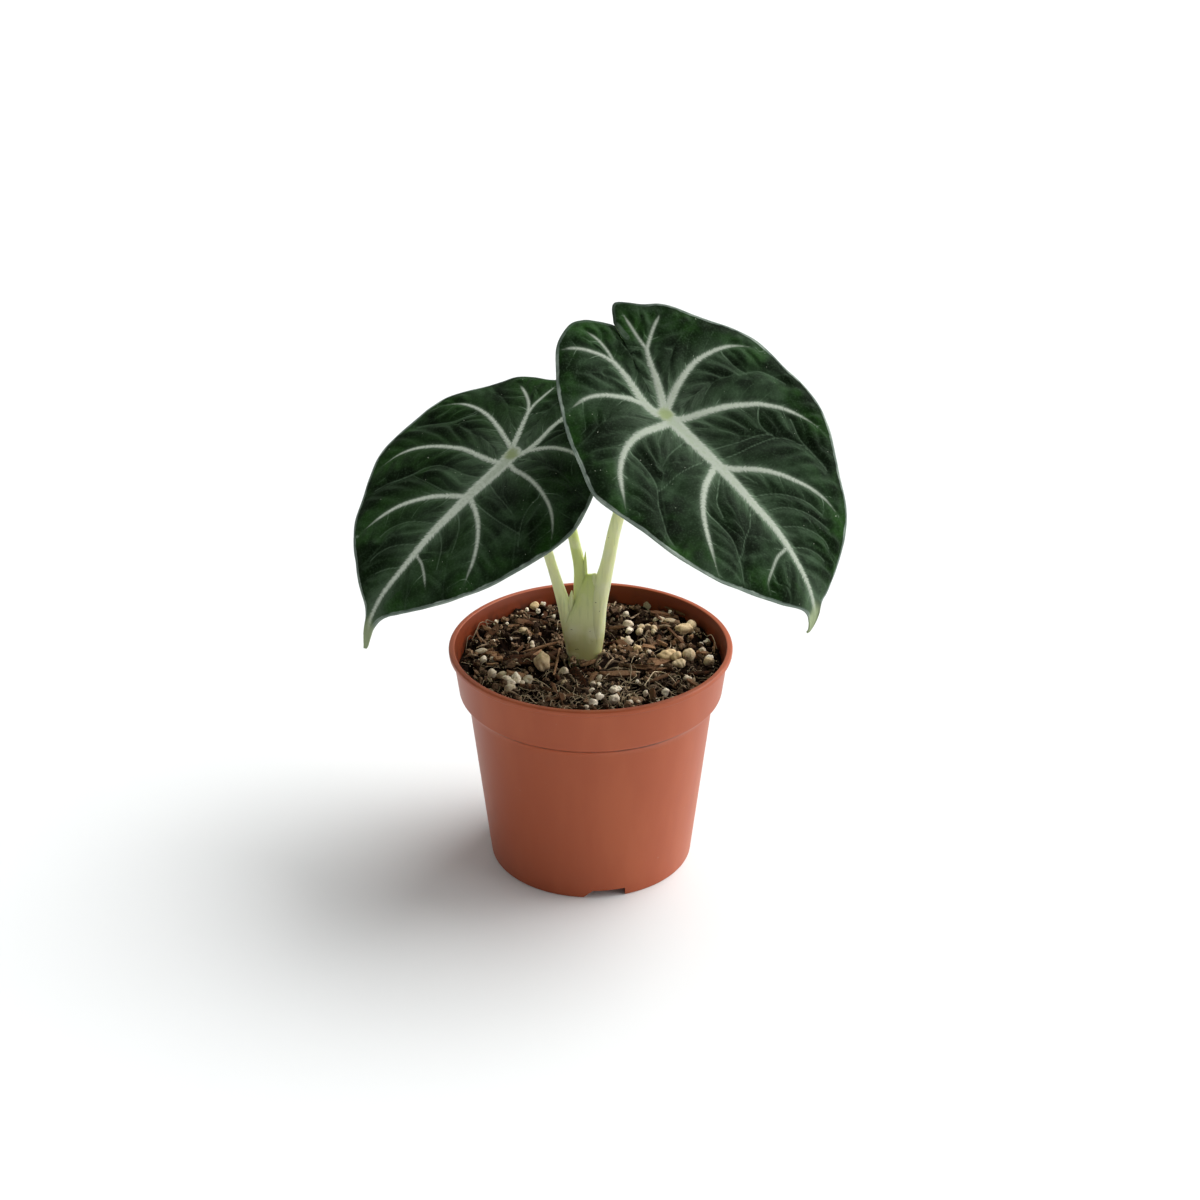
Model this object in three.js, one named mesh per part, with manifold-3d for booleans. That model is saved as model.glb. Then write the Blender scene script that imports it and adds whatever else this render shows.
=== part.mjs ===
// A young alocasia with dark velvety leaves and pale veins, in a 12 cm plastic nursery pot.
// Millimetres, +Z up. The pot's axis is x = y = 0 and its foot is on z = 0, until the last lines
// put the middle of the whole plant's box over the origin.
import * as THREE from "three";
import { mergeVertices } from "three/addons/utils/BufferGeometryUtils.js";
import Module from "manifold-3d";

const wasm = await Module();
wasm.setup();

const CLEARANCE = 0.3; // between neighbouring pieces
const DEGREE = Math.PI / 180;

// Pot: thin moulded shell with a collar, a beaded lip and a foot ring with three notches.
const POT_HEIGHT = 99;
const RIM_RADIUS = 60;
const COLLAR_TOP_RADIUS = 58.1;
const COLLAR_FOOT_RADIUS = 55.9;
const COLLAR_FOOT_Z = 78.6;
const BODY_TOP_RADIUS = 52.3;
const BODY_TOP_Z = 76;
const BASE_RADIUS = 44.3;
const WALL = 1.4;
const LIP_HEIGHT = 2.8;
const FOOT_HEIGHT = 4;
const FOOT_WIDTH = 2.4;
const FLOOR_THICKNESS = 1.4;
const POT_SIDES = 60;
const NOTCHES = 3;
const NOTCH_WIDTH = 16.5;
const NOTCH_SLANT = 2.5;
const FIRST_NOTCH_ANGLE = -81.5;
const DRAIN_HOLES = 6;
const DRAIN_RADIUS = 3.6;
const DRAIN_CIRCLE = 27;

// Potting mix: level of its surface, how uneven it is, and what lies in it.
const SOIL_Z = 89.6;
const SOIL_SWELL = 2; // height of its long swells
const SOIL_LUMP = 2.4; // and of its lumps
const SOIL_SIDES = 48;
const SOIL_RINGS = 13;
const SOIL_SEED = 7;
const PERLITE_GRAINS = 44;
const PERLITE_RADIUS = [1.2, 2.4];
const BARK_CHIPS = 26;
const BARK_LENGTH = [8, 18];
const LARGE_GRANULES = [
  // x, y, radius, flatness
  [-20.7, 5.5, 3.8, 0.8],
  [-34.6, -1.6, 3.4, 0.6],
  [-44, 1.5, 2.6, 0.7],
  [23, 24.3, 2.9, 0.6],
  [41, 24.3, 3.2, 0.7],
  [35.4, 9.2, 3.2, 0.6],
  [42.2, 8.2, 2.6, 0.7],
  [47.8, 11, 2.4, 0.6],
  [15, 25.4, 2.2, 0.8],
  [15, 17.6, 2.3, 0.8],
];

// Stems: x, y, z and radius along each petiole, from below the soil to the leaf, then the free tip of
// its sheath as foot, tip and foot radius.
const STEM_FOOT_Z = 74;
const STEM_SIDES = 12;
const STEM_STEPS = 17;
const LEFT_PETIOLE = {
  path: [
    [-6, 5.6, STEM_FOOT_Z, 3.9],
    [-6.6, 5.6, 89.7, 4],
    [-8.3, 5.7, 101.7, 3.6],
    [-11.2, 6.2, 114, 2.9],
    [-14.5, 7, 125.6, 2.3],
    [-17.4, 8, 135.8, 2.15],
    [-21.8, 9, 151.8, 2.1],
    [-27.4, 9.8, 168.1, 2.1],
    [-32.2, 10.1, 180.4, 2.4],
    [-33.4, 10.2, 183.8, 2.5],
  ],
  sheath: { foot: [-8.4, 5.4, 112], tip: [-8.1, 4.6, 121], radius: 1.4 },
};
const MIDDLE_PETIOLE = {
  path: [
    [-2.4, 8.6, STEM_FOOT_Z, 3.5],
    [-2.9, 8.6, 89.7, 3.6],
    [-3.3, 8.3, 101, 3.6],
    [-3.7, 8, 112, 3.4],
    [-4, 7.8, 122, 3],
    [-4.6, 7.8, 131, 2.6],
    [-6.5, 8.4, 141, 2.3],
    [-9, 9.6, 153, 2.1],
    [-10.3, 10.8, 162, 2.2],
  ],
  sheath: { foot: [-3.2, 6.8, 127], tip: [-2.3, 6.6, 140], radius: 1.5 },
};
const RIGHT_PETIOLE = {
  path: [
    [0.3, 5.4, STEM_FOOT_Z, 4.4],
    [0.7, 5.4, 93.6, 4.5],
    [1.5, 5.3, 101.7, 4.4],
    [2.7, 5.1, 114, 4.2],
    [5.2, 4.5, 125.6, 3.5],
    [7.2, 3.8, 135, 2.9],
    [10.9, 1.2, 154.8, 2.65],
    [18.1, -3, 179.1, 2.5],
    [24.7, -6.2, 195.2, 2.5],
    [29.7, -8, 204.4, 2.8],
    [31.4, -8.5, 208, 3],
  ],
  sheath: { foot: [1.6, 5.2, 120], tip: [1.4, 5, 131.5], radius: 2.1 },
};
const ROLLED_LEAF = {
  // the youngest leaf, still rolled into a spear on the middle petiole
  length: 30,
  radius: 3.3,
  overlap: 0.16,
  turns: 0.6,
  sides: 16,
  steps: 14,
};

// Leaf blades. Each is a fan of curved lines that run from the midrib to the margin, in the blade's own
// coordinates: v across and u along, both from the petiole. Line 0 ends at the notch between the two
// hind lobes, and the last line at the drip tip. A line is its start on the midrib, a bow point and its
// end on the margin, so a line is a quadratic curve.
const BLADE_THICKNESS = 0.9;
const LINES_BETWEEN = 3; // steps from one line of the fan to the next
const VEIN_LINES = [2, 3, 5, 7, 9, 11]; // the lines that carry a primary vein
const ACROSS = [0.045, 0.11, 0.22, 0.36, 0.51, 0.66, 0.8, 0.91, 1]; // columns from midrib to margin
const TROUGH_RISE = 2; // the blade rises this much from the midrib
const TROUGH_WIDTH = 12; // within about this distance
const MARGIN_DROP = 2.5; // and falls again to its edge
const MIDRIB_DEPTH = 2; // how far the midrib stands out below
const VEIN_DEPTH = 0.8;
const VEIN_GROOVE = 0.55; // how far a vein lies below the blade's upper face
const QUILT_RISE = 0.7; // how far the blade swells between veins
const CALM_LINES = 5; // both are less up to this line, where the lines lie close
const RIGHT_BLADE = {
  attachment: [30, -8, 205.1],
  heading: -40, // compass of the midrib, degrees from +x towards +y
  slope: [30, 86], // fall of the midrib, at the petiole and at the front
  slopePower: 4.5,
  front: 101,
  backSlope: 37,
  roll: 16,
  twist: -13,
  bend: -0.003,
  vee: 0,
  wave: [1.1, 3.5],
  rib: [
    [0, -1.2],
    [0, -1],
    [0, -0.8],
    [0, -0.6],
    [0, -0.3],
    [0, 0.5],
    [0, 2.5],
    [0, 5],
    [0, 17],
    [0, 32],
    [0, 52],
    [0, 73],
    [0.3, 92],
    [1.5, 103],
    [-0.5, 112],
  ],
  // bow v, bow u, margin v, margin u
  left: [
    [4, -18, 8.6, -36],
    [2.5, -22, 7.4, -44],
    [-1, -26, -3, -50.8],
    [-4, -38, -20, -46],
    [-11, -26, -36, -22],
    [-24, -12, -46, -2],
    [-31, -6, -52.6, 14],
    [-35, -3, -52, 29],
    [-28, 16, -49.2, 47],
    [-23.5, 33.5, -40, 70.5],
    [-16, 54, -28.5, 83],
    [-10, 75.5, -17.5, 92],
    [-3, 94.5, -6.2, 98.5],
    [-0.6, 103.4, -2, 104],
    [-0.8, 112, -1, 112],
  ],
  right: [
    [4, -18, 8.6, -36],
    [5, -23, 9.9, -44],
    [7, -26, 13.5, -51],
    [12, -27, 29, -42],
    [20, -24, 44, -24],
    [27, -21, 54.5, -3],
    [30, -6, 56.6, 19],
    [29.5, 4, 53, 40.5],
    [25, 20, 46, 54],
    [18.5, 40.5, 32.2, 75.2],
    [11.5, 58, 21.4, 85],
    [6, 77, 13, 93.5],
    [3.2, 95, 6.8, 99.5],
    [3, 103.4, 4.4, 104],
    [0, 112, 0.2, 112],
  ],
};
const LEFT_BLADE = {
  attachment: [-32.5, 10, 180.8],
  heading: 218,
  slope: [31, 68],
  slopePower: 4.2,
  front: 91,
  backSlope: -8,
  roll: -7,
  twist: -14,
  bend: -0.0005,
  vee: -0.02,
  wave: [0.9, 1.2],
  rib: [
    [0, -1.2],
    [0, -1],
    [0, -0.8],
    [0, -0.6],
    [0, -0.3],
    [0, 0.5],
    [0, 3],
    [0, 6],
    [0, 15],
    [0, 25.5],
    [0, 42],
    [0, 62],
    [-0.8, 82],
    [-1.8, 94],
    [-1.8, 103],
  ],
  left: [
    [-1, -15, -2, -31],
    [-2.5, -20, -4.2, -40.5],
    [-8, -20, -14, -42.5],
    [-5.5, -25.5, -36, -33],
    [-16, -22, -45.5, -19.5],
    [-23.5, -19, -53.2, 0],
    [-27, -8, -53.2, 16],
    [-28.5, 4, -49.2, 32],
    [-25, 18, -40, 47.5],
    [-20.5, 34, -28.5, 65],
    [-12, 50, -18.5, 74],
    [-6, 68, -9, 82],
    [-3, 86, -4.6, 89],
    [-2.8, 95.4, -3.9, 96],
    [-2.3, 103, -2.4, 103],
  ],
  right: [
    [-1, -15, -2, -31],
    [1, -20, 0.4, -40.5],
    [5.5, -22, 9, -46],
    [12, -23, 27, -37],
    [17, -19, 40, -21],
    [18, -16, 47.8, -4.5],
    [27, -6, 52.2, 11],
    [33, 2.5, 50, 23],
    [29, 19, 41, 41.5],
    [24, 37, 30, 60],
    [14, 52, 19, 73.5],
    [7, 68, 9.5, 82],
    [1.5, 86, 2.2, 89],
    [-0.8, 95.4, 0, 96],
    [-1.3, 103, -1.2, 103],
  ],
};

const PLASTIC = { color: 0xb4654a, roughness: 0.45, metalness: 0 };
const MIX = { color: 0x4a3526, roughness: 0.95, metalness: 0 };
const STALK = { color: 0xb5c28c, roughness: 0.5, metalness: 0 };
const SPEAR = { color: 0x9fb465, roughness: 0.5, metalness: 0 };
const VELVET = { color: 0x24382b, roughness: 0.7, metalness: 0 };

// Solids and meshes

// A closed geometry as a solid: vertices that coincide are merged, empty triangles dropped, and all
// faces turned round if they point inwards.
function solidOf(geometry) {
  const bare = geometry.index ? geometry.toNonIndexed() : geometry.clone();
  bare.deleteAttribute("normal");
  bare.deleteAttribute("uv");
  const merged = mergeVertices(bare, 1e-4);
  const corners = [];
  for (let i = 0; i < merged.index.count; i += 3) {
    const [a, b, c] = [0, 1, 2].map((k) => merged.index.getX(i + k));
    if (a !== b && b !== c && c !== a) corners.push(a, b, c);
  }
  const made = (triVerts) =>
    new wasm.Manifold(
      new wasm.Mesh({ numProp: 3, vertProperties: merged.attributes.position.array, triVerts }),
    );
  const solid = made(new Uint32Array(corners));
  return solid.volume() > 0 ? solid : made(new Uint32Array(corners.reverse()));
}

// The largest of a solid's separate bodies.
function largest(solid) {
  return solid.decompose().reduce((a, b) => (a.volume() > b.volume() ? a : b));
}

function meshOf(name, solid, look) {
  const { vertProperties, triVerts } = solid.getMesh();
  const geometry = new THREE.BufferGeometry();
  geometry.setAttribute("position", new THREE.BufferAttribute(new Float32Array(vertProperties), 3));
  geometry.setIndex(new THREE.BufferAttribute(new Uint32Array(triVerts), 1));
  geometry.computeVertexNormals();
  const mesh = new THREE.Mesh(geometry, new THREE.MeshStandardMaterial(look));
  mesh.name = name;
  return mesh;
}

// A body skinned over rings of points, all rings alike in number, with a flat fan closing each end.
function loft(rings) {
  const points = [];
  const corners = [];
  const sides = rings[0].length;
  rings.forEach((ring) => ring.forEach((p) => points.push(p.x, p.y, p.z)));
  for (let i = 0; i + 1 < rings.length; i++) {
    for (let k = 0; k < sides; k++) {
      const a = i * sides + k;
      const b = i * sides + ((k + 1) % sides);
      corners.push(a, b, b + sides, a, b + sides, a + sides);
    }
  }
  for (const [i, turn] of [[0, 1], [rings.length - 1, -1]]) {
    const middle = rings[i].reduce((sum, p) => sum.add(p), new THREE.Vector3());
    middle.divideScalar(sides);
    points.push(middle.x, middle.y, middle.z);
    const centre = points.length / 3 - 1;
    for (let k = 0; k < sides; k++) {
      const a = i * sides + k;
      const b = i * sides + ((k + 1) % sides);
      if (turn > 0) corners.push(centre, b, a);
      else corners.push(centre, a, b);
    }
  }
  const geometry = new THREE.BufferGeometry();
  geometry.setAttribute("position", new THREE.Float32BufferAttribute(points, 3));
  geometry.setIndex(corners);
  return solidOf(geometry);
}

// A seeded source of numbers from 0 to 1.
function seeded(seed) {
  let state = seed;
  return () => {
    state = (state * 1664525 + 1013904223) % 4294967296;
    return state / 4294967296;
  };
}

function between(range, share) {
  return range[0] + (range[1] - range[0]) * share;
}

// Pot

function turned(profile, sides) {
  const points = profile.map(([r, z]) => new THREE.Vector2(r, z));
  const geometry = new THREE.LatheGeometry(points, sides);
  geometry.rotateX(Math.PI / 2);
  return solidOf(geometry);
}

// The inner wall's radius at a height: the outer wall less the shell's thickness.
function innerRadius(z) {
  if (z > COLLAR_FOOT_Z) {
    const share = (z - COLLAR_FOOT_Z) / (POT_HEIGHT - LIP_HEIGHT - COLLAR_FOOT_Z);
    return between([COLLAR_FOOT_RADIUS, COLLAR_TOP_RADIUS], share) - WALL;
  }
  return between([BASE_RADIUS, BODY_TOP_RADIUS], Math.min(z / BODY_TOP_Z, 1)) - WALL;
}

function makePot() {
  const floorTop = FOOT_HEIGHT + FLOOR_THICKNESS;
  const underLip = POT_HEIGHT - LIP_HEIGHT;
  const shell = turned(
    [
      [0, FOOT_HEIGHT],
      [BASE_RADIUS - FOOT_WIDTH, FOOT_HEIGHT],
      [BASE_RADIUS - FOOT_WIDTH, 0],
      [BASE_RADIUS - 0.6, 0],
      [BASE_RADIUS, 1],
      [BODY_TOP_RADIUS, BODY_TOP_Z],
      [COLLAR_FOOT_RADIUS, COLLAR_FOOT_Z],
      [COLLAR_TOP_RADIUS, underLip],
      [RIM_RADIUS - 0.3, underLip + 0.5],
      [RIM_RADIUS, POT_HEIGHT - 1.4],
      [RIM_RADIUS - 0.4, POT_HEIGHT - 0.4],
      [RIM_RADIUS - 1.2, POT_HEIGHT],
      [RIM_RADIUS - 2.6, POT_HEIGHT],
      [innerRadius(underLip), underLip],
      [innerRadius(COLLAR_FOOT_Z + 0.1), COLLAR_FOOT_Z + 0.6],
      [innerRadius(BODY_TOP_Z), BODY_TOP_Z - 1],
      [innerRadius(floorTop), floorTop],
      [0, floorTop],
    ],
    POT_SIDES,
  );
  return [...notchCutters(), ...drainCutters()].reduce((pot, cutter) => pot.subtract(cutter), shell);
}

// Three slanted notches in the foot ring let water out.
function notchCutters() {
  const top = FOOT_HEIGHT - CLEARANCE;
  const outline = new THREE.Shape();
  outline.moveTo(-NOTCH_WIDTH / 2 - NOTCH_SLANT, -1);
  outline.lineTo(NOTCH_WIDTH / 2, -1);
  outline.lineTo(NOTCH_WIDTH / 2, top);
  outline.lineTo(-NOTCH_WIDTH / 2 + NOTCH_SLANT, top);
  return Array.from({ length: NOTCHES }, (_, i) => {
    const cutter = new THREE.ExtrudeGeometry(outline, { depth: 3 * FOOT_WIDTH, bevelEnabled: false });
    cutter.rotateX(Math.PI / 2);
    cutter.translate(0, -BASE_RADIUS + 2 * FOOT_WIDTH, 0);
    cutter.rotateZ((FIRST_NOTCH_ANGLE + 90 + (i * 360) / NOTCHES) * DEGREE);
    return solidOf(cutter);
  });
}

function drainCutters() {
  return Array.from({ length: DRAIN_HOLES }, (_, i) => {
    const cutter = new THREE.CylinderGeometry(DRAIN_RADIUS, DRAIN_RADIUS, 4 * FLOOR_THICKNESS, 12);
    cutter.rotateX(Math.PI / 2);
    cutter.translate(DRAIN_CIRCLE, 0, FOOT_HEIGHT);
    cutter.rotateZ(((i + 0.5) * 2 * Math.PI) / DRAIN_HOLES);
    return solidOf(cutter);
  });
}

// Stems

// A tube along a path of [x, y, z, radius], with the radius eased from point to point.
function stalk(path, sides, steps) {
  const curve = new THREE.CatmullRomCurve3(path.map(([x, y, z]) => new THREE.Vector3(x, y, z)));
  const radii = new THREE.SplineCurve(path.map(([, , , r], i) => new THREE.Vector2(i, r)));
  const rings = [];
  for (let i = 0; i <= steps; i++) {
    const t = i / steps;
    rings.push(ringAround(curve.getPoint(t), curve.getTangent(t), sides, () => radii.getPoint(t).y));
  }
  return loft(rings);
}

// A ring of points round a centre, square to a direction; radiusAt gives the radius at each angle.
function ringAround(centre, direction, sides, radiusAt) {
  const across = new THREE.Vector3(1, 0, 0).cross(direction).normalize();
  const first = direction.clone().cross(across).normalize().negate();
  return Array.from({ length: sides }, (_, k) => {
    const angle = (k * 2 * Math.PI) / sides;
    return centre
      .clone()
      .addScaledVector(first, radiusAt(angle) * Math.cos(angle))
      .addScaledVector(across, -radiusAt(angle) * Math.sin(angle));
  });
}

function sheathTip({ foot, tip, radius }) {
  const start = new THREE.Vector3(...foot);
  const end = new THREE.Vector3(...tip);
  const direction = end.clone().sub(start).normalize();
  const shares = [0, 0.35, 0.7, 1];
  const widths = [1, 0.85, 0.5, 0.12];
  return loft(
    shares.map((share, i) =>
      ringAround(start.clone().lerp(end, share), direction, 6, () => radius * widths[i]),
    ),
  );
}

function makePetiole({ path, sheath }, grow = 0) {
  const grown = path.map(([x, y, z, r]) => [x, y, z, r + grow]);
  grown[0][2] -= grow;
  const tip = sheathTip({ ...sheath, radius: sheath.radius + grow });
  return stalk(grown, STEM_SIDES, STEM_STEPS).add(tip);
}

// The rolled leaf is a spindle whose section is one turn of a spiral, so that the edge of the roll
// shows as a step that winds up it.
function makeRolledLeaf() {
  const top = MIDDLE_PETIOLE.path.at(-1);
  const before = MIDDLE_PETIOLE.path.at(-2);
  const start = new THREE.Vector3(...top.slice(0, 3));
  const direction = start.clone().sub(new THREE.Vector3(...before.slice(0, 3))).normalize();
  start.addScaledVector(direction, -4);
  direction.lerp(new THREE.Vector3(0, 0, 1), 0.4).normalize();
  const { length, radius, overlap, turns, sides, steps } = ROLLED_LEAF;
  const rings = [];
  for (let i = 0; i <= steps; i++) {
    const t = i / steps;
    const girth = radius * (0.5 + 0.5 * Math.sin(Math.PI * Math.min(t * 1.25, 1) - Math.PI / 2 + 0.6));
    const width = Math.max(girth * Math.sqrt(1 - t ** 3), 0.25);
    const spiral = (angle) => {
      const along = (angle / (2 * Math.PI) + turns * t) % 1;
      return width * (1 - overlap * along);
    };
    rings.push(ringAround(start.clone().addScaledVector(direction, t * length), direction, sides, spiral));
  }
  return loft(rings);
}

// Leaf blades

// The blade as a surface: a point at (v, u) across and along it, edge being the share of the way from
// the midrib to the margin. The midrib falls ever more steeply from the petiole to the front; the
// blade's cross-section leans by roll and twist, is bent to an arc, rises from the midrib and droops
// to the margin.
function bladeSurface(blade) {
  const heading = blade.heading * DEGREE;
  const forward = new THREE.Vector3(Math.cos(heading), Math.sin(heading), 0);
  const side = new THREE.Vector3(-Math.sin(heading), Math.cos(heading), 0);
  const upward = new THREE.Vector3(0, 0, 1);
  const fall = (u) => {
    const ahead = THREE.MathUtils.clamp(u / blade.front, 0, 1.4);
    const behind = THREE.MathUtils.clamp(-u / blade.front, 0, 1);
    const [first, last] = blade.slope;
    return (first + (last - first) * ahead ** blade.slopePower + blade.backSlope * behind) * DEGREE;
  };
  const step = 0.5;
  const ribPoint = (u) => {
    const count = Math.max(Math.ceil(Math.abs(u) / step), 1);
    const length = u / count;
    let [x, z] = [0, 0];
    for (let i = 0; i < count; i++) {
      const angle = fall((i + 0.5) * length);
      x += Math.cos(angle) * length;
      z -= Math.sin(angle) * length;
    }
    return new THREE.Vector3(...blade.attachment).addScaledVector(forward, x).addScaledVector(upward, z);
  };
  return (v, u, edge) => {
    const angle = fall(u);
    const up = forward.clone().multiplyScalar(Math.sin(angle)).addScaledVector(upward, Math.cos(angle));
    const lean = (blade.roll + blade.twist * THREE.MathUtils.clamp(u / blade.front, -1, 1.3)) * DEGREE;
    const across = side.clone().multiplyScalar(Math.cos(lean)).addScaledVector(up, Math.sin(lean));
    const normal = side.clone().multiplyScalar(-Math.sin(lean)).addScaledVector(up, Math.cos(lean));
    const trough = 1 - Math.exp(-((v / TROUGH_WIDTH) ** 2));
    const arc = -(1 - Math.cos(blade.bend * v)) / blade.bend;
    const vee = blade.vee * (Math.hypot(v, 4) - 4);
    const height = arc + vee + (TROUGH_RISE - MARGIN_DROP * edge ** 4) * trough;
    return ribPoint(u)
      .addScaledVector(across, Math.sin(blade.bend * v) / blade.bend)
      .addScaledVector(normal, height);
  };
}

// A point of the fan, (v, u), on the line at place p (0 to 14) of one half, at a share of its length.
function fanPoint(rib, half, p, share) {
  const last = half.length - 1;
  const at = (column) => new THREE.SplineCurve(column).getPoint(p / last);
  const start = at(rib.map(([v, u]) => new THREE.Vector2(v, u)));
  const bow = at(half.map(([v, u]) => new THREE.Vector2(v, u)));
  const end = at(half.map(([, , v, u]) => new THREE.Vector2(v, u)));
  return new THREE.QuadraticBezierCurve(start, bow, end).getPoint(share);
}

// 1 on a line that carries a vein, falling to 0 one step of the fan away.
function onVein(p) {
  return VEIN_LINES.reduce((most, line) => Math.max(most, 1 - LINES_BETWEEN * Math.abs(p - line)), 0);
}

// A blade as a closed body: its upper and lower faces are split into triangles alike, and a strip joins
// them round the margin. below and above thicken it, to cut its petiole with.
function makeBlade(blade, below = 0, above = 0) {
  const surface = bladeSurface(blade);
  const columns = [...ACROSS.map((s) => -s).reverse(), 0, ...ACROSS];
  const rows = (blade.rib.length - 1) * LINES_BETWEEN + 1;
  const upper = [];
  const lower = [];
  for (let i = 0; i < rows; i++) {
    const p = i / LINES_BETWEEN;
    for (const column of columns) {
      const share = Math.abs(column);
      const { x: v, y: u } = fanPoint(blade.rib, column < 0 ? blade.left : blade.right, p, share);
      const point = surface(v, u, share);
      const alongV = surface(v + 0.2, u, share).sub(point);
      const alongU = surface(v, u + 0.2, share).sub(point);
      const normal = alongU.cross(alongV).normalize();
      const tipFade = THREE.MathUtils.clamp((rows - 1 - i) / 6, 0, 1);
      const vein = onVein(p) * (1 - share ** 3) * tipFade;
      const calm = THREE.MathUtils.clamp(p / CALM_LINES, 0.3, 1);
      const quilt = QUILT_RISE * calm * (1 - onVein(p)) * Math.sin(Math.PI * share) * tipFade;
      const wave = blade.wave[0] * share ** 5 * Math.sin(p * 1.3 + blade.wave[1]) * tipFade;
      const top = wave + quilt - VEIN_GROOVE * calm * vein * Math.min(share * 6, 1);
      const midrib = MIDRIB_DEPTH * Math.max(0, 1 - share / ACROSS[1]) * (0.25 + 0.75 * tipFade);
      const thickness = BLADE_THICKNESS + Math.max(VEIN_DEPTH * vein, midrib);
      upper.push(point.clone().addScaledVector(normal, top + above));
      lower.push(point.clone().addScaledVector(normal, top - thickness - below));
    }
  }
  return bladeBody(upper, lower, columns.length, rows);
}

// Line 0 is one and the same for both halves, so its two halves coincide and merge.
function bladeBody(upper, lower, width, rows) {
  const points = [...upper, ...lower].flatMap((p) => [p.x, p.y, p.z]);
  const under = upper.length;
  const corners = [];
  const quad = (a, b, c, d) => corners.push(a, b, c, a, c, d);
  for (let i = 0; i + 1 < rows; i++) {
    for (let k = 0; k + 1 < width; k++) {
      const a = i * width + k;
      quad(a, a + width, a + width + 1, a + 1);
      const [b, c, d] = [a + 1, a + width + 1, a + width];
      corners.push(under + a, under + c, under + d, under + a, under + b, under + c);
    }
    const left = i * width;
    const right = left + width - 1;
    quad(left, under + left, under + left + width, left + width);
    quad(right, right + width, under + right + width, under + right);
  }
  const end = (rows - 1) * width;
  for (let k = 0; k + 1 < width; k++) {
    quad(end + k, under + end + k, under + end + k + 1, end + k + 1);
  }
  const geometry = new THREE.BufferGeometry();
  geometry.setAttribute("position", new THREE.Float32BufferAttribute(points, 3));
  geometry.setIndex(corners);
  return solidOf(geometry);
}

// Potting mix

// A smooth random surface from -0.5 to 0.5 over a grid of unit squares.
function noise(x, y) {
  const corner = (i, j) => {
    const mixed = Math.sin(i * 127.1 + j * 311.7) * 43758.5;
    return mixed - Math.floor(mixed);
  };
  const [i, j] = [Math.floor(x), Math.floor(y)];
  const [a, b] = [x - i, y - j].map((f) => f * f * (3 - 2 * f));
  const near = between([corner(i, j), corner(i + 1, j)], a);
  const far = between([corner(i, j + 1), corner(i + 1, j + 1)], a);
  return between([near, far], b) - 0.5;
}

// Height of the mix's surface: a few long swells and many lumps.
function soilHeight(x, y) {
  return SOIL_Z + SOIL_SWELL * noise(x / 21, y / 21) + SOIL_LUMP * noise(x / 5.5 + 40, y / 5.5);
}

function soilBed() {
  const bottom = FOOT_HEIGHT + FLOOR_THICKNESS + CLEARANCE;
  const ring = (radius, height) =>
    Array.from({ length: SOIL_SIDES }, (_, k) => {
      const angle = (k * 2 * Math.PI) / SOIL_SIDES;
      const [x, y] = [radius * Math.cos(angle), radius * Math.sin(angle)];
      return new THREE.Vector3(x, y, height ?? soilHeight(x, y));
    });
  const inside = (z) => innerRadius(z) * Math.cos(Math.PI / POT_SIDES) - CLEARANCE;
  const belowStep = BODY_TOP_Z - 3;
  const rings = [
    ring(inside(bottom), bottom),
    ring(inside(belowStep), belowStep),
    ring(inside(belowStep), BODY_TOP_Z),
    ring(inside(COLLAR_FOOT_Z + 1), COLLAR_FOOT_Z + 4),
  ];
  for (let i = SOIL_RINGS; i > 0; i--) {
    rings.push(ring((inside(SOIL_Z) * i) / SOIL_RINGS, null));
  }
  return loft(rings);
}

// A lump lying in the mix: a small solid of few faces, stretched, turned, and sunk below its middle.
function lumpIn(geometry, size, turn, tilt, x, y, sink) {
  geometry.scale(...size);
  geometry.rotateY(tilt);
  geometry.rotateZ(turn);
  geometry.translate(x, y, soilHeight(x, y) - sink);
  return solidOf(geometry);
}

function soilLumps() {
  const random = seeded(SOIL_SEED);
  const reach = innerRadius(SOIL_Z) - 5;
  const stemKeepOut = 16;
  const place = () => {
    for (;;) {
      const radius = reach * Math.sqrt(random());
      const angle = 2 * Math.PI * random();
      const [x, y] = [radius * Math.cos(angle), radius * Math.sin(angle)];
      if (Math.hypot(x + 3, y - 6) > stemKeepOut) return [x, y];
    }
  };
  const lumps = LARGE_GRANULES.map(([x, y, r, flat]) =>
    lumpIn(new THREE.IcosahedronGeometry(1, 0), [r, 0.85 * r, flat * r], x, 0, x, y, 0.1 * r),
  );
  for (let i = 0; i < PERLITE_GRAINS; i++) {
    const [x, y] = place();
    const r = between(PERLITE_RADIUS, random());
    const size = [r, r * between([0.7, 1], random()), 0.8 * r];
    lumps.push(lumpIn(new THREE.IcosahedronGeometry(1, 0), size, 6 * random(), 0, x, y, 0.15 * r));
  }
  for (let i = 0; i < BARK_CHIPS; i++) {
    const [x, y] = place();
    const half = between(BARK_LENGTH, random()) / 2;
    const inward = Math.hypot(x, y) + half > reach ? Math.atan2(-y, -x) + Math.PI / 2 : 6 * random();
    const size = [half, half * between([0.25, 0.4], random()), 2];
    const tilt = between([-0.12, 0.12], random());
    lumps.push(lumpIn(new THREE.OctahedronGeometry(1, 0), size, inward, tilt, x, y, 0.3));
  }
  return lumps;
}

// Assembly

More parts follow.
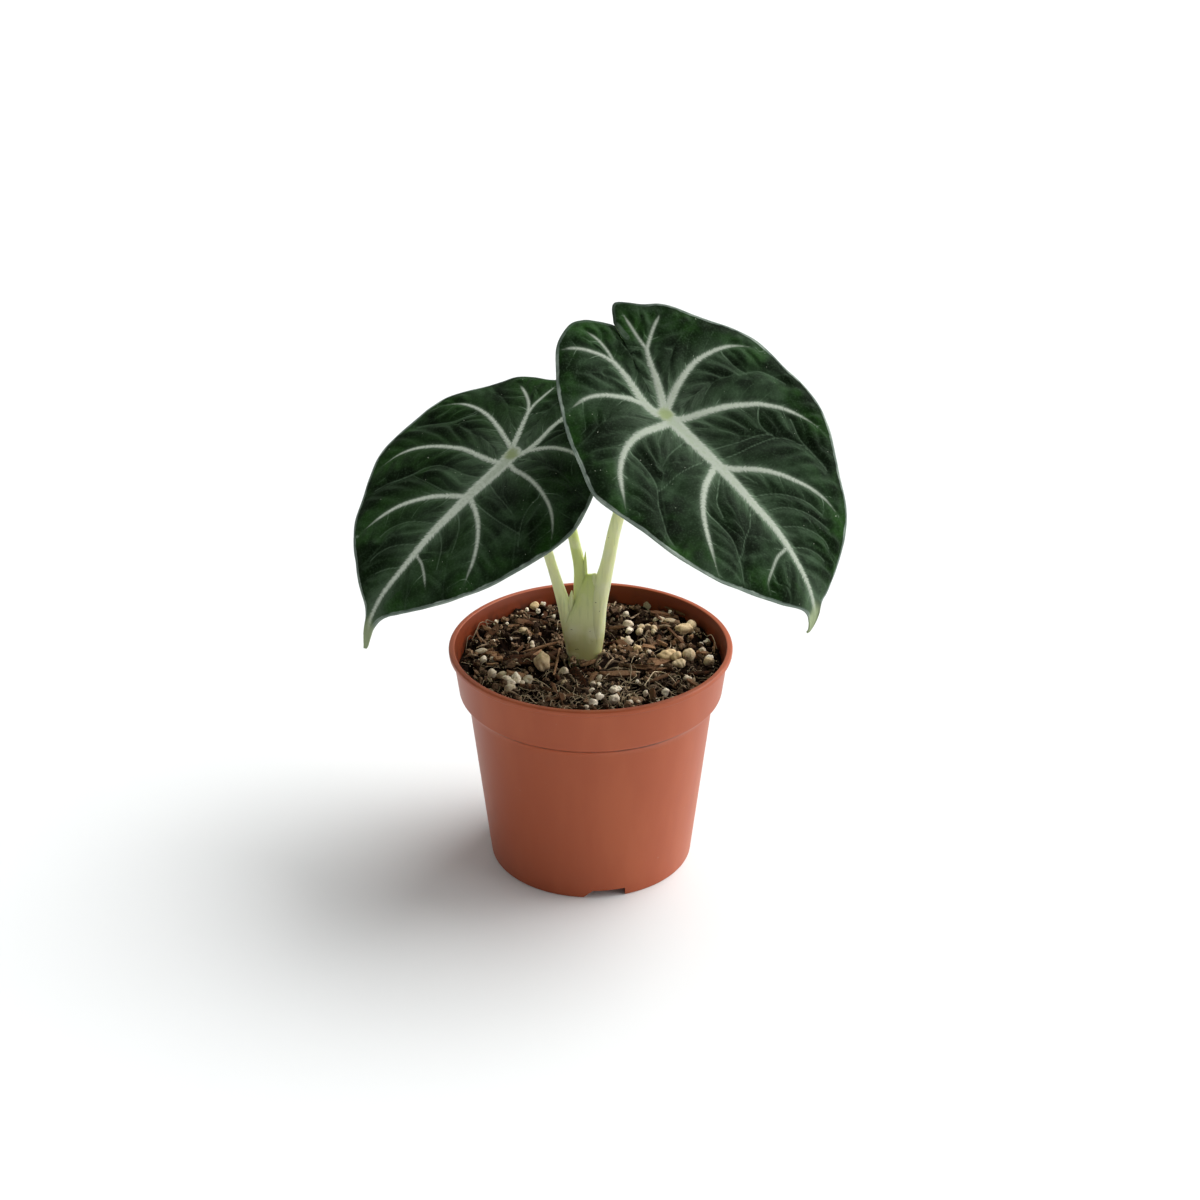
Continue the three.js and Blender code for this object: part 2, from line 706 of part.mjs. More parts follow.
const leftBlade = makeBlade(LEFT_BLADE);
const rightBlade = makeBlade(RIGHT_BLADE);
const youngLeaf = largest(makePetiole(MIDDLE_PETIOLE).add(makeRolledLeaf()));
const roomForYoungLeaf = makePetiole(MIDDLE_PETIOLE, CLEARANCE);
const rightPetiole = largest(
  makePetiole(RIGHT_PETIOLE).subtract(roomForYoungLeaf).subtract(makeBlade(RIGHT_BLADE, CLEARANCE, 5)),
);
const roomForRightPetiole = makePetiole(RIGHT_PETIOLE, CLEARANCE);
const leftPetiole = largest(
  makePetiole(LEFT_PETIOLE)
    .subtract(roomForYoungLeaf)
    .subtract(roomForRightPetiole)
    .subtract(makeBlade(LEFT_BLADE, CLEARANCE, 5)),
);
const stemHole = roomForYoungLeaf
  .add(roomForRightPetiole)
  .add(makePetiole(LEFT_PETIOLE, CLEARANCE));
const pottingMix = largest(
  soilLumps()
    .reduce((bed, lump) => bed.add(lump), soilBed())
    .subtract(stemHole),
);

const plant = new THREE.Group();
plant.add(
  meshOf("pot", makePot(), PLASTIC),
  meshOf("potting_mix", pottingMix, MIX),
  meshOf("left_petiole", leftPetiole, STALK),
  meshOf("right_petiole", rightPetiole, STALK),
  meshOf("young_leaf", youngLeaf, SPEAR),
  meshOf("left_leaf_blade", leftBlade, VELVET),
  meshOf("right_leaf_blade", rightBlade, VELVET),
);

const box = new THREE.Box3().setFromObject(plant);
const middle = box.getCenter(new THREE.Vector3());
plant.position.set(-middle.x, -middle.y, 0);

export default plant;
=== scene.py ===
# A young alocasia in its nursery pot: two dark velvety leaves with pale veins, fleshy stalks, a moulded
# plastic pot and a loose potting mix. Shapes are worked out in millimetres from the pot's own axis.
import bmesh
import bpy
import numpy as np
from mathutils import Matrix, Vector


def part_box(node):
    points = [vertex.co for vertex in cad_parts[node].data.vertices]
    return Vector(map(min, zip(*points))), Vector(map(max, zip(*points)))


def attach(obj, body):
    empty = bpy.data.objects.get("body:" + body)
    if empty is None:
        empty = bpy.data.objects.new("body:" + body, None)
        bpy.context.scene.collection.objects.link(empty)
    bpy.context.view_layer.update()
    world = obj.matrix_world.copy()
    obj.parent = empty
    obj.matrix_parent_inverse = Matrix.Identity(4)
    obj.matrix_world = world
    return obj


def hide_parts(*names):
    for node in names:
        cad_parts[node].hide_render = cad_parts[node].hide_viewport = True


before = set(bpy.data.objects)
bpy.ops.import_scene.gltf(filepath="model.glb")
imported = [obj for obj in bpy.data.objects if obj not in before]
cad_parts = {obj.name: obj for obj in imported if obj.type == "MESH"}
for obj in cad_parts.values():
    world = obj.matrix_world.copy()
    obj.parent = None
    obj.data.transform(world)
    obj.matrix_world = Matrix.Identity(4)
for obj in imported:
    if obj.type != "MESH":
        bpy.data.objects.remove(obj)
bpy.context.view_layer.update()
mm = 0.001
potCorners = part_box("pot")
potAxis = np.array([(potCorners[0].x + potCorners[1].x) / 2, (potCorners[0].y + potCorners[1].y) / 2, 0])

# Camera, at the photograph's viewing angle

view = {
    "target": (3.93, 0, 119.2),  # mm from the pot's axis
    "elevation": 26.15,
    "distance": 850,
    "lens": 61.02,
}


# The camera stands back from its target along (0, -cos, sin) of its elevation and looks along it.
def placeCamera():
    rise = np.radians(view["elevation"])
    back = np.array([0, -np.cos(rise), np.sin(rise)])
    lens = bpy.data.cameras.new("studio camera")
    lens.lens = view["lens"]
    lens.clip_end = 50
    camera = bpy.data.objects.new("studio camera", lens)
    camera.location = potAxis + (np.array(view["target"]) + view["distance"] * back) * mm
    camera.rotation_euler = (np.pi / 2 - rise, 0, 0)
    bpy.context.scene.collection.objects.link(camera)
    bpy.context.scene.camera = camera


placeCamera()
print("camera placed")

# Meshes


# Puts points in millimetres from the pot's axis, and faces of four and three corners, into a mesh.
# values holds numbers for each point, which materials read as attributes.
def makePiece(name, points, quads, triangles=(), values={}):
    mesh = bpy.data.meshes.new(name)
    points = np.asarray(points, float).reshape(-1, 3)
    quads = np.asarray(quads, int).reshape(-1, 4)
    triangles = np.asarray(triangles, int).reshape(-1, 3)
    corners = np.concatenate([quads.ravel(), triangles.ravel()])
    starts = np.concatenate([np.arange(len(quads)) * 4, len(quads) * 4 + np.arange(len(triangles)) * 3])
    mesh.vertices.add(len(points))
    mesh.vertices.foreach_set("co", (points * mm + potAxis).ravel())
    mesh.loops.add(len(corners))
    mesh.loops.foreach_set("vertex_index", corners)
    mesh.polygons.add(len(starts))
    mesh.polygons.foreach_set("loop_start", starts)
    for label, numbers in values.items():
        attribute = mesh.attributes.new(label, "FLOAT", "POINT")
        attribute.data.foreach_set("value", np.asarray(numbers, float).ravel())
    mesh.update(calc_edges=True)
    mesh.validate()
    mesh.shade_smooth()
    piece = bpy.data.objects.new(name, mesh)
    bpy.context.scene.collection.objects.link(piece)
    return piece


# Gives a finished piece its material and its body, and hides the solids that it stands for. slot is not
# used.
def fit(piece, material, slot, *nodes):
    piece.data.materials.clear()
    piece.data.materials.append(material)
    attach(piece, "root")
    if nodes:
        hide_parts(*nodes)
    print("made", piece.name, len(piece.data.vertices), "points")


# Faces of a grid of rows by columns of points, numbered row by row; a closed grid joins its last
# column to its first.
def gridFaces(rows, columns, closed=False, first=0):
    i, j = np.meshgrid(np.arange(rows - 1), np.arange(columns if closed else columns - 1), indexing="ij")
    here = i * columns + j
    beside = i * columns + (j + 1) % columns
    return first + np.stack([here, beside, beside + columns, here + columns], -1).reshape(-1, 4)


# Angles of a closed ring of points, and the ring as x = r cos a, y = r sin a and z.
def around(sides):
    return np.arange(sides) * 2 * np.pi / sides


def ringOf(radius, height, angle):
    x, y, z = np.broadcast_arrays(radius * np.cos(angle), radius * np.sin(angle), height)
    return np.stack([x, y, z], -1)


# Closed tubes over rings of points, as one mesh: each end is closed with a fan of triangles from the
# middle of its ring.
def tubes(*parts):
    points, quads, caps = [], [], []
    count = 0
    for rings in parts:
        steps, sides = rings.shape[:2]
        points += [rings.reshape(-1, 3), rings[:1].mean(1), rings[-1:].mean(1)]
        quads.append(gridFaces(steps, sides, closed=True, first=count))
        k = np.arange(sides)
        beside = (k + 1) % sides
        last, foot = (steps - 1) * sides, steps * sides
        caps.append(count + np.stack([np.full(sides, foot), beside, k], -1))
        caps.append(count + np.stack([np.full(sides, foot + 1), last + k, last + beside], -1))
        count += foot + 2
    return np.concatenate(points), np.concatenate(quads), np.concatenate(caps)


# Merges points that coincide, and drops what then has no area.
def weld(piece, distance=0.0005):
    work = bmesh.new()
    work.from_mesh(piece.data)
    bmesh.ops.remove_doubles(work, verts=work.verts, dist=distance * mm)
    bmesh.ops.dissolve_degenerate(work, edges=work.edges, dist=distance * mm)
    work.to_mesh(piece.data)
    work.free()
    piece.data.update()


# A smooth curve through rows of points (uniform Catmull-Rom), at places from 0 to the last row.
def curveThrough(points, places):
    points = np.asarray(points, float)
    places = np.asarray(places, float)
    last = len(points) - 1
    i = np.clip(np.floor(places).astype(int), 0, last - 1)
    w = (places - i)[..., None]
    a, b, c, d = (points[np.clip(i + k, 0, last)] for k in (-1, 0, 1, 2))
    m, n = (c - a) / 2, (d - b) / 2
    return (2 * b - 2 * c + m + n) * w**3 + (3 * c - 3 * b - 2 * m - n) * w**2 + m * w + b


# 0 below low, 1 above high, and 3t² - 2t³ between; low may be the larger.
def smooth(low, high, x):
    t = np.clip((x - low) / (high - low), 0, 1)
    return t * t * (3 - 2 * t)


# A smooth random surface from -0.5 to 0.5: hashed values on a grid of unit squares, blended by
# 3f² - 2f³ (the same one that shapes the mix's solid).
def noise(x, y):
    def corner(i, j):
        mixed = np.sin(i * 127.1 + j * 311.7) * 43758.5
        return mixed - np.floor(mixed)

    i, j = np.floor(x), np.floor(y)
    a, b = ((f * f * (3 - 2 * f)) for f in (x - i, y - j))
    near = corner(i, j) + (corner(i + 1, j) - corner(i, j)) * a
    far = corner(i, j + 1) + (corner(i + 1, j + 1) - corner(i, j + 1)) * a
    return near + (far - near) * b - 0.5


# Materials


# An sRGB hex value as linear colour: c / 12.92 up to 0.04045, above it ((c + 0.055) / 1.055) ** 2.4.
def linear(hexValue):
    c = np.array([int(hexValue[i : i + 2], 16) for i in (1, 3, 5)]) / 255
    c = np.where(c <= 0.04045, c / 12.92, ((c + 0.055) / 1.055) ** 2.4)
    return (*c, 1.0)


# Adds a node. Settings are its properties; inputs go to its sockets, and a socket given there is
# linked.
def addNode(tree, kind, settings={}, inputs={}):
    node = tree.nodes.new("ShaderNode" + kind)
    for name, value in settings.items():
        setattr(node, name, value)
    for name, value in inputs.items():
        if isinstance(value, bpy.types.NodeSocket):
            tree.links.new(value, node.inputs[name])
        else:
            node.inputs[name].default_value = value
    return node


# A new material with fixed values set on its shader's own sockets.
def startMaterial(name, fixed):
    material = bpy.data.materials.new(name)
    material.use_nodes = True
    tree = material.node_tree
    shader = tree.nodes["Principled BSDF"]
    for socket, value in fixed.items():
        shader.inputs[socket].default_value = value
    return material, tree, shader


# How much of a layer shows: its strength times the share of each condition. A condition is a value and
# what it goes from and to, over which its share rises smoothly (3t² - 2t³) from 0 to 1, or between two
# further numbers. A value alone is taken as the share.
def layerShare(tree, strength, conditions):
    for value, *span in conditions:
        if span:
            low, high, start, end = (*span, 0.0, 1.0)[:4]
            (low, start), (high, end) = sorted([(low, start), (high, end)])
            reach = {0: value, 1: low, 2: high, 3: start, 4: end}
            value = addNode(tree, "MapRange", {"interpolation_type": "SMOOTHSTEP"}, reach).outputs[0]
        strength = addNode(tree, "Math", {"operation": "MULTIPLY"}, {0: value, 1: strength}).outputs[0]
    return strength


# Paints layers over a base colour: each is a colour, a strength and its conditions.
def paint(tree, base, layers):
    colour = linear(base)
    for over, strength, *conditions in layers:
        share = layerShare(tree, strength, conditions)
        mix = addNode(tree, "Mix", {"data_type": "RGBA"}, {0: share, 6: colour, 7: linear(over)})
        colour = mix.outputs[2]
    return colour


# Leaf blades. Each is a fan of curved lines from the midrib to the margin, in the blade's own
# coordinates: v across and u along, both in millimetres from the petiole. Line 0 ends at the notch
# between the two hind lobes and line 14 at the drip tip. rib holds a line's start on the midrib; left
# and right hold its bow point and its end on the margin, as v, u, v, u.

rightLeaf = {
    "skin": "velvety living leaf",
    "dark": "#0a1c06",
    "vein": "#a4ac9e",
    "attachment": (30, -8, 205.1),
    "heading": -40,  # degrees from +x towards +y
    "slope": (30, 86),  # fall of the midrib at the petiole and at the front
    "slopePower": 4.5,
    "front": 101,
    "backSlope": 37,
    "roll": 16,
    "twist": -13,
    "bend": -0.003,
    "vee": 0,
    "wave": (1.1, 3.5),
    "midribTaper": 1.2,
    "rib": [
        (0, -1.2), (0, -1), (0, -0.8), (0, -0.6), (0, -0.3), (0, 0.5), (0, 2.5), (0, 5),
        (0, 17), (0, 32), (0, 52), (0, 73), (0.3, 92), (1.5, 103), (-0.5, 112),
    ],
    "left": [
        (4, -18, 8.6, -36), (2.5, -22, 7.4, -44), (-1, -26, -3, -50.8), (-4, -38, -20, -46),
        (-11, -26, -36, -22), (-24, -12, -46, -2), (-31, -6, -52.6, 14), (-35, -3, -52, 29),
        (-28, 16, -49.2, 47), (-23.5, 33.5, -40, 70.5), (-16, 54, -28.5, 83), (-10, 75.5, -17.5, 92),
        (-3, 94.5, -6.2, 98.5), (-0.6, 103.4, -2, 104), (-0.8, 112, -1, 112),
    ],
    "right": [
        (4, -18, 8.6, -36), (5, -23, 9.9, -44), (7, -26, 13.5, -51), (12, -27, 29, -42),
        (20, -24, 44, -24), (27, -21, 54.5, -3), (30, -6, 56.6, 19), (29.5, 4, 53, 40.5),
        (25, 20, 46, 54), (18.5, 40.5, 32.2, 75.2), (11.5, 58, 21.4, 85), (6, 77, 13, 93.5),
        (3.2, 95, 6.8, 99.5), (3, 103.4, 4.4, 104), (0, 112, 0.2, 112),
    ],
    # small waves of the margin, in mm outwards at every third of a line
    "leftRim": [
        0, 0, 0, 0, -0.4, -0.7, -0.1, 0.8, 0.1, -0.3, -0.5, 0, 0, 0, 0, 0, 0, 0, 0, 0, 0.3, 0.5, 0.7, 1.1,
        1.8, 2.7, 2.8, 1.8, 1, 0.6, 0.2, -0.2, -0.4, -0.3, -0.1, 0.2, 0.6, 1.2, 1.6, 1.7, 1.2, 0.3, 0,
    ],
    "rightRim": [
        0, 0.8, 1.6, 2, 1.3, 0.6, 0.2, -0.7, -1.3, -0.2, -0.1, -0.7, -0.6, 0.2, 0.6, 0.7, 0.1, 0, 0.9, 1.5,
        1.8, 0.8, 0.1, -0.3, -0.4, -0.4, 0.2, 0.2, 0.4, 1.1, 1.6, 1.6, 1.3, 0.7, 0.1, -0.8, -2.1, -2.7,
        -2.7, -2.3, -1.6, -0.8, 0,
    ],
    # half widths at start and end, then points as u, v
    "veins": [
        (3, 0.5, [(-1, 0), (13, 0), (24, 0.3), (33.5, 0.3), (42.5, 0), (52.5, -0.5), (61.5, -0.3),
                    (71, -0.6), (79, -1.1), (87.5, -1), (96, -0.6), (103, 0), (111, -0.8)]),
        (1.5, 0.35, [(-1, 1), (-4.5, 7.3), (-8, 14.6), (-11.2, 24.6), (-11.4, 32.4), (-10, 40),
                     (-7.2, 45.6), (-2.7, 51)]),
        (1.4, 0.35, [(4, 1), (6.5, 6), (9.3, 14.3), (12.4, 22.5), (16.4, 30), (19, 34.2), (24.7, 40.3),
                     (30.2, 44.2), (36.6, 47.3), (42.7, 49)]),
        (1.2, 0.3, [(31, 1), (35, 4.5), (38.3, 9), (42.5, 13.8), (47.4, 18.2), (53, 22), (58.8, 25.5),
                    (65.7, 28.1), (73.4, 29.3)]),
        (1.7, 0.35, [(4, -1), (3, -8.4), (2.1, -16), (3.2, -23.8), (6.3, -30.4), (11, -36.6),
                     (16.6, -41.6), (22.5, -46), (27, -49.5)]),
        (1.3, 0.3, [(27, 1), (29.6, -1), (31.6, -5), (35, -12.2), (40.4, -19.5), (47.3, -26),
                     (55.5, -31.7), (63, -36.2), (71, -40.7)]),
        (0.45, 0.15, [(71, -0.5), (73.4, -2.5), (74.8, -9.2), (78, -15.2), (81.6, -20), (85.5, -21)]),
        (2.0, 0.8, [(0, 0), (-3, -3), (-9.2, -3.7), (-16.8, -2.5), (-24, -2), (-30, -2.5)]),
        (1.1, 0.3, [(-8, -4), (-12.8, -7.2), (-16.6, -11.6), (-19.8, -16.4), (-21.9, -22), (-22.2, -27),
                    (-21.6, -31.5)]),
        (0.7, 0.25, [(-30, -2.5), (-34.7, -5.2), (-39.6, -10), (-42.7, -15), (-44.2, -20)]),
        (0.45, 0.2, [(-30, -2.5), (-35, -1.8), (-41, -2.5), (-46, -4.8)]),
        (1.8, 0.7, [(0, 0), (-3, 1.7), (-9.5, 5.3), (-16.3, 8.2), (-22.4, 10.2), (-27.3, 12.3)]),
        (0.6, 0.3, [(-27.3, 12.3), (-30.6, 16.2), (-34.4, 21.1), (-37.3, 25.7)]),
        (0.5, 0.25, [(-27.5, 12.3), (-33, 12.3), (-39.5, 12.6), (-45.4, 12.8)]),
    ],
    "fineVeins": [
        [(28, 2), (30.7, 10.7), (32, 19.5), (33.8, 28), (37, 33), (43.7, 37), (49.6, 38), (56.6, 38)],
        [(22, 2), (25, 8.3), (27.5, 15), (29.3, 23), (32, 29)],
        [(20, 33), (24.5, 28.5), (29, 27.6), (33.8, 29.2)],
        [(31, 41), (39, 38), (46, 38), (55, 38.6)],
        [(4.6, 39), (7.5, 45), (12.5, 48.5), (18, 51)],
        [(-9, 38), (-1, 38.3), (5.6, 40)],
        [(48, 1), (52, 9.4), (56.6, 15), (62.4, 19.7), (69.4, 22.4)],
        [(56, 1), (59, 9), (64, 14.5), (69, 18), (75.6, 21.5)],
        [(64, 1), (68, 8), (72.5, 13), (77.7, 16.5), (81.6, 17)],
        [(74, 1), (77, 6), (81, 9.7), (85, 12)],
        [(25.3, -2), (25.2, -12.6), (25.4, -20), (26.6, -27), (27, -31)],
        [(14, -1), (15, -9), (16.7, -15.6), (18.6, -20.5)],
        [(6, -26.5), (12.4, -26.7), (19.6, -27.7), (25.7, -30.6), (31.8, -36.6), (38.6, -41.3),
         (45, -45), (50, -46.3)],
        [(34, -2), (40, -10), (44, -14.7), (50.4, -18)],
        [(44, -22), (52, -21.8), (59, -22.4), (66, -25.4), (72.7, -28.4), (76.6, -30.3)],
        [(52, -2), (59, -11), (62.8, -18.2), (67, -23.7), (69, -27.8)],
    ],
}

leftLeaf = {
    "skin": "velvety older leaf",  # its colours are paler than the right leaf's: painted light, for the less light that falls on it
    # painted light: this dark and this vein colour are paler than the right leaf's
    "dark": "#1e3417",
    "vein": "#bec7b8",
    "attachment": (-32.5, 10, 180.8),
    "heading": 218,
    "slope": (31, 68),
    "slopePower": 4.2,
    "front": 91,
    "backSlope": -8,
    "roll": -7,
    "twist": -14,
    "bend": -0.0005,
    "vee": -0.02,
    "wave": (0.9, 1.2),
    "midribTaper": 1.7,
    "rib": [
        (0, -1.2), (0, -1), (0, -0.8), (0, -0.6), (0, -0.3), (0, 0.5), (0, 3), (0, 6),
        (0, 15), (0, 25.5), (0, 42), (0, 62), (-0.8, 82), (-1.8, 94), (-1.8, 103),
    ],
    "left": [
        (-1, -15, -2, -31), (-2.5, -20, -4.2, -40.5), (-8, -20, -14, -42.5), (-5.5, -25.5, -36, -33),
        (-16, -22, -45.5, -19.5), (-23.5, -19, -53.2, 0), (-27, -8, -53.2, 16), (-28.5, 4, -49.2, 32),
        (-25, 18, -40, 47.5), (-20.5, 34, -28.5, 65), (-12, 50, -18.5, 74), (-6, 68, -9, 82),
        (-3, 86, -4.6, 89), (-2.8, 95.4, -3.9, 96), (-2.3, 103, -2.4, 103),
    ],
    "right": [
        (-1, -15, -2, -31), (1, -20, 0.4, -40.5), (5.5, -22, 9, -46), (12, -23, 27, -37),
        (17, -19, 40, -21), (18, -16, 47.8, -4.5), (27, -6, 52.2, 11), (33, 2.5, 50, 23),
        (29, 19, 41, 41.5), (24, 37, 30, 60), (14, 52, 19, 73.5), (7, 68, 9.5, 82),
        (1.5, 86, 2.2, 89), (-0.8, 95.4, 0, 96), (-1.3, 103, -1.2, 103),
    ],
    "leftRim": [
        0, 0, 0, 0, 0, 0, 0, -0.7, 0.9, 1.6, -0.4, -0.8, -0.1, 0.6, 1.2, 0.2, -0.5, -0.1, 0.5, 1.1, 1.7,
        1.7, 1.6, 1.5, 1.5, 1.4, 1.1, 0.4, 0.1, 0.1, 0.1, 0.5, 0.8, 0.7, 0.2, -0.2, -0.3, -0.6, -1, -1.3,
        -1.5, -1.2, 0,
    ],
    "rightRim": [
        0, 0, 0, 0, 0, 0, 0, 0, 0, 0, 0, 0, 0, 0, 0, 0, 0.3, -0.1, -0.4, -0.6, -0.8, -0.8, -0.5, -0.4, 0.1,
        0.9, 1.3, 1.1, 1.3, 1.2, 1.1, 0.9, 0.9, 0.8, 0.5, 0.6, 0.8, 0.9, 0.7, 0.9, 1, 0.8, 0,
    ],
    "veins": [
        (3.4, 0.5, [(-1, 0.4), (5.9, 0.8), (13.2, 0.6), (21.5, 0), (29.4, 0), (37.3, 0), (45, -0.1),
                    (57.6, 0.4), (65.4, 0.6), (71.5, 0.2), (78.2, -0.4), (84.3, -0.6), (90.2, -0.9),
                    (96, -1), (102, -1.8)]),
        (0.95, 0.3, [(-0.5, -0.5), (-2.6, -3.2), (-4.5, -8.2), (-7, -15.5), (-9, -23.3), (-9.8, -31),
                     (-9.2, -38.4), (-7.2, -44), (-3.5, -49)]),
        (1.1, 0.28, [(5.5, 0), (7.2, -5.8), (8.3, -11.7), (9.4, -18.9), (11.7, -25), (14.8, -31.4),
                    (18.7, -36.9), (22.9, -40.8), (28.2, -43.5), (34.6, -44.7)]),
        (1.1, 0.3, [(25, 0.5), (26.3, -1.2), (28.5, -5.1), (31.8, -9.5), (35.6, -13.6), (40, -17.1),
                    (44.7, -20.3), (50.1, -22.7), (56, -24.5), (61.6, -25.7)]),
        (0.95, 0.2, [(3, 0.5), (5.1, 6.9), (5.3, 13.9), (5.9, 21), (7.6, 28), (10.2, 34.6), (13.6, 39.8),
                    (18.1, 44.1), (23.8, 47.8)]),
        (1.05, 0.2, [(24, 0), (26.5, 3.3), (29.2, 9), (32.9, 14.5), (37.5, 19.2), (42.5, 22.9),
                    (47.9, 25.7), (53.7, 27.6), (58.4, 29.2)]),
        (0.35, 0.15, [(55, 0), (57.9, 2.2), (59.5, 6.4), (62.9, 11.2), (66.7, 15.1)]),
        (1.3, 0.6, [(0, 0), (-2.4, -1.9), (-7.9, -4.6), (-13.5, -7.3), (-20, -10.5)]),
        (0.5, 0.25, [(-20, -10.5), (-24, -14.7), (-27.3, -20.9), (-29.8, -27.4)]),
        (0.5, 0.25, [(-19.7, -10.3), (-24.8, -11.6), (-30.6, -12.1), (-37.6, -12.8)]),
        (1.4, 0.45, [(1, 0.5), (-2.8, 4.3), (-6.8, 5.6), (-11.5, 6.1), (-17.9, 5.6), (-23.4, 6),
                    (-30, 6.6), (-37, 7.5)]),
        (1.0, 0.3, [(-4.5, 5), (-8.1, 10.2), (-10.8, 15), (-12.6, 20.8), (-13.5, 26.2), (-13, 33)]),
        (0.5, 0.25, [(-22, 6), (-26, 9), (-31, 14), (-33, 20)]),
    ],
    "fineVeins": [
        [(-8, -31), (-3.6, -33.8), (0.9, -36.5), (4.7, -41), (8.3, -45.8), (11.6, -49.5)],
        [(14.5, -1.5), (18.5, -9.3), (19.7, -16.1), (21.3, -22.4), (25.4, -27), (30.4, -28.9),
         (35, -31.1), (40.6, -34.4), (45.8, -37)],
        [(28, -6), (29.6, -13.3), (30.3, -19.3), (31.1, -28)],
        [(41.5, -1), (45.4, -7.6), (48.4, -11.4), (52.3, -14.3), (56.3, -16.2), (60.5, -16.9)],
        [(53, -1), (57.4, -6.5), (61.6, -10.1), (65.9, -12.3), (70.3, -13.4)],
        [(65, -0.5), (68.7, -4.8), (73.3, -8.3)],
        [(6, 28), (14.8, 28.1), (20.3, 29.5), (24.5, 31.6), (31, 36)],
        [(26, 5), (27.1, 14.8), (27.4, 21.5), (27.1, 27.2), (26.8, 33)],
        [(15, 1), (18.2, 10), (19.6, 16.4), (21.6, 24.2)],
        [(33, 1), (37.7, 7.4), (42.9, 11.5), (48.7, 14.3)],
        [(44, 1), (48, 7), (53, 11), (58, 14)],
    ],
}

blade = {
    "rows": 331,  # from the notch to the drip tip
    "columns": 108,  # from the midrib to the margin, on the upper face
    "underEvery": 3,  # the lower face has one column for so many
    "thickness": 0.9,
    "marginBulge": 0.22,  # the rounded margin stands out this much
    "troughRise": 2,  # the blade rises this much from the midrib
    "troughWidth": 12,
    "marginDrop": 2.5,
    "sink": 0.7,  # how far veins lie below the blade between them
    "dome": 0.7,  # how far it swells between two side veins
    "sideWander": 4.5,  # how far they stray from even spacing
    "sideSpacing": 8.5,  # of side veins along a main vein, measured on the photographed leaf
    "sideForward": 0.75,  # side veins lean this much towards their vein's end
    "sideCurve": 0.02,
    "ribDepth": 0.85,  # veins stand out below by this share of their half width
    "glowReach": 16,  # of the pale feathering round the petiole
    "fineDip": 0.28,  # depth of the crease along a fine vein
    "wideDip": 0.7,  # and of the wide hollow beside it
    "crown": 0.12,  # the veins themselves are gently rounded
    "buckle": 1.5,  # height of the blade's uneven swells
    "lift": (0.8, -0.4),  # beside the notch the right hind lobe's edge is folded up over the left one
    "light": (0.3, 0.95, 0),  # direction of the relief's painted light and shade; slopes that face the back right are the dark ones
}


# The blade as a surface, as arrays: points at v across and u along, edge being the share of the way
# from the midrib to the margin. The midrib falls ever more steeply towards the front; the section
# leans by roll and twist, is bent to an arc, rises from the midrib and droops to its margin.
def bladeSurface(leaf, v, u, edge):
    heading = np.radians(leaf["heading"])
    forward = np.array([np.cos(heading), np.sin(heading), 0])
    side = np.array([-np.sin(heading), np.cos(heading), 0])
    upward = np.array([0, 0, 1])

    def fall(along):
        ahead = np.clip(along / leaf["front"], 0, 1.4)
        behind = np.clip(-along / leaf["front"], 0, 1)
        first, last = leaf["slope"]
        steeper = (last - first) * ahead ** leaf["slopePower"]
        return np.radians(first + steeper + leaf["backSlope"] * behind)

    step = 0.25
    stations = np.arange(-80, 180, step)
    angles = fall(stations + step / 2)
    reach = np.concatenate([[0], np.cumsum(np.cos(angles) * step)])[:-1]
    drop = np.concatenate([[0], np.cumsum(np.sin(angles) * step)])[:-1]
    start = np.searchsorted(stations, 0)
    x = np.interp(u, stations, reach - reach[start])[..., None]
    z = np.interp(u, stations, drop - drop[start])[..., None]
    angle = fall(u)[..., None]
    up = forward * np.sin(angle) + upward * np.cos(angle)
    lean = np.radians(leaf["roll"] + leaf["twist"] * np.clip(u / leaf["front"], -1, 1.3))[..., None]
    across = side * np.cos(lean) + up * np.sin(lean)
    normal = up * np.cos(lean) - side * np.sin(lean)
    bend = leaf["bend"]
    trough = 1 - np.exp(-((v / blade["troughWidth"]) ** 2))
    height = -(1 - np.cos(bend * v)) / bend + leaf["vee"] * (np.hypot(v, 4) - 4)
    height = height + (blade["troughRise"] - blade["marginDrop"] * edge**4) * trough
    middle = np.array(leaf["attachment"]) + forward * x - upward * z
    return middle + across * (np.sin(bend * v) / bend)[..., None] + normal * height[..., None]


# Distance from each point to a curve through a vein's points, and how far along the curve its nearest
# place is: the least over straight pieces of the curve.
def nearestOnCurve(points, curve):
    path = curveThrough(curve, np.linspace(0, len(curve) - 1, 5 * (len(curve) - 1) + 1))
    lengths = np.linalg.norm(np.diff(path, axis=0), axis=1)
    before = np.concatenate([[0], np.cumsum(lengths)])
    best = np.full(len(points), np.inf)
    place = np.zeros(len(points))
    for start, end, length, passed in zip(path[:-1], path[1:], lengths, before):
        share = np.clip((points - start) @ (end - start) / length**2, 0, 1)
        gap = np.linalg.norm(points - start - share[:, None] * (end - start), axis=1)
        nearer = gap < best
        best = np.where(nearer, gap, best)
        place = np.where(nearer, passed + share * length, place)
    return best, place, before[-1]


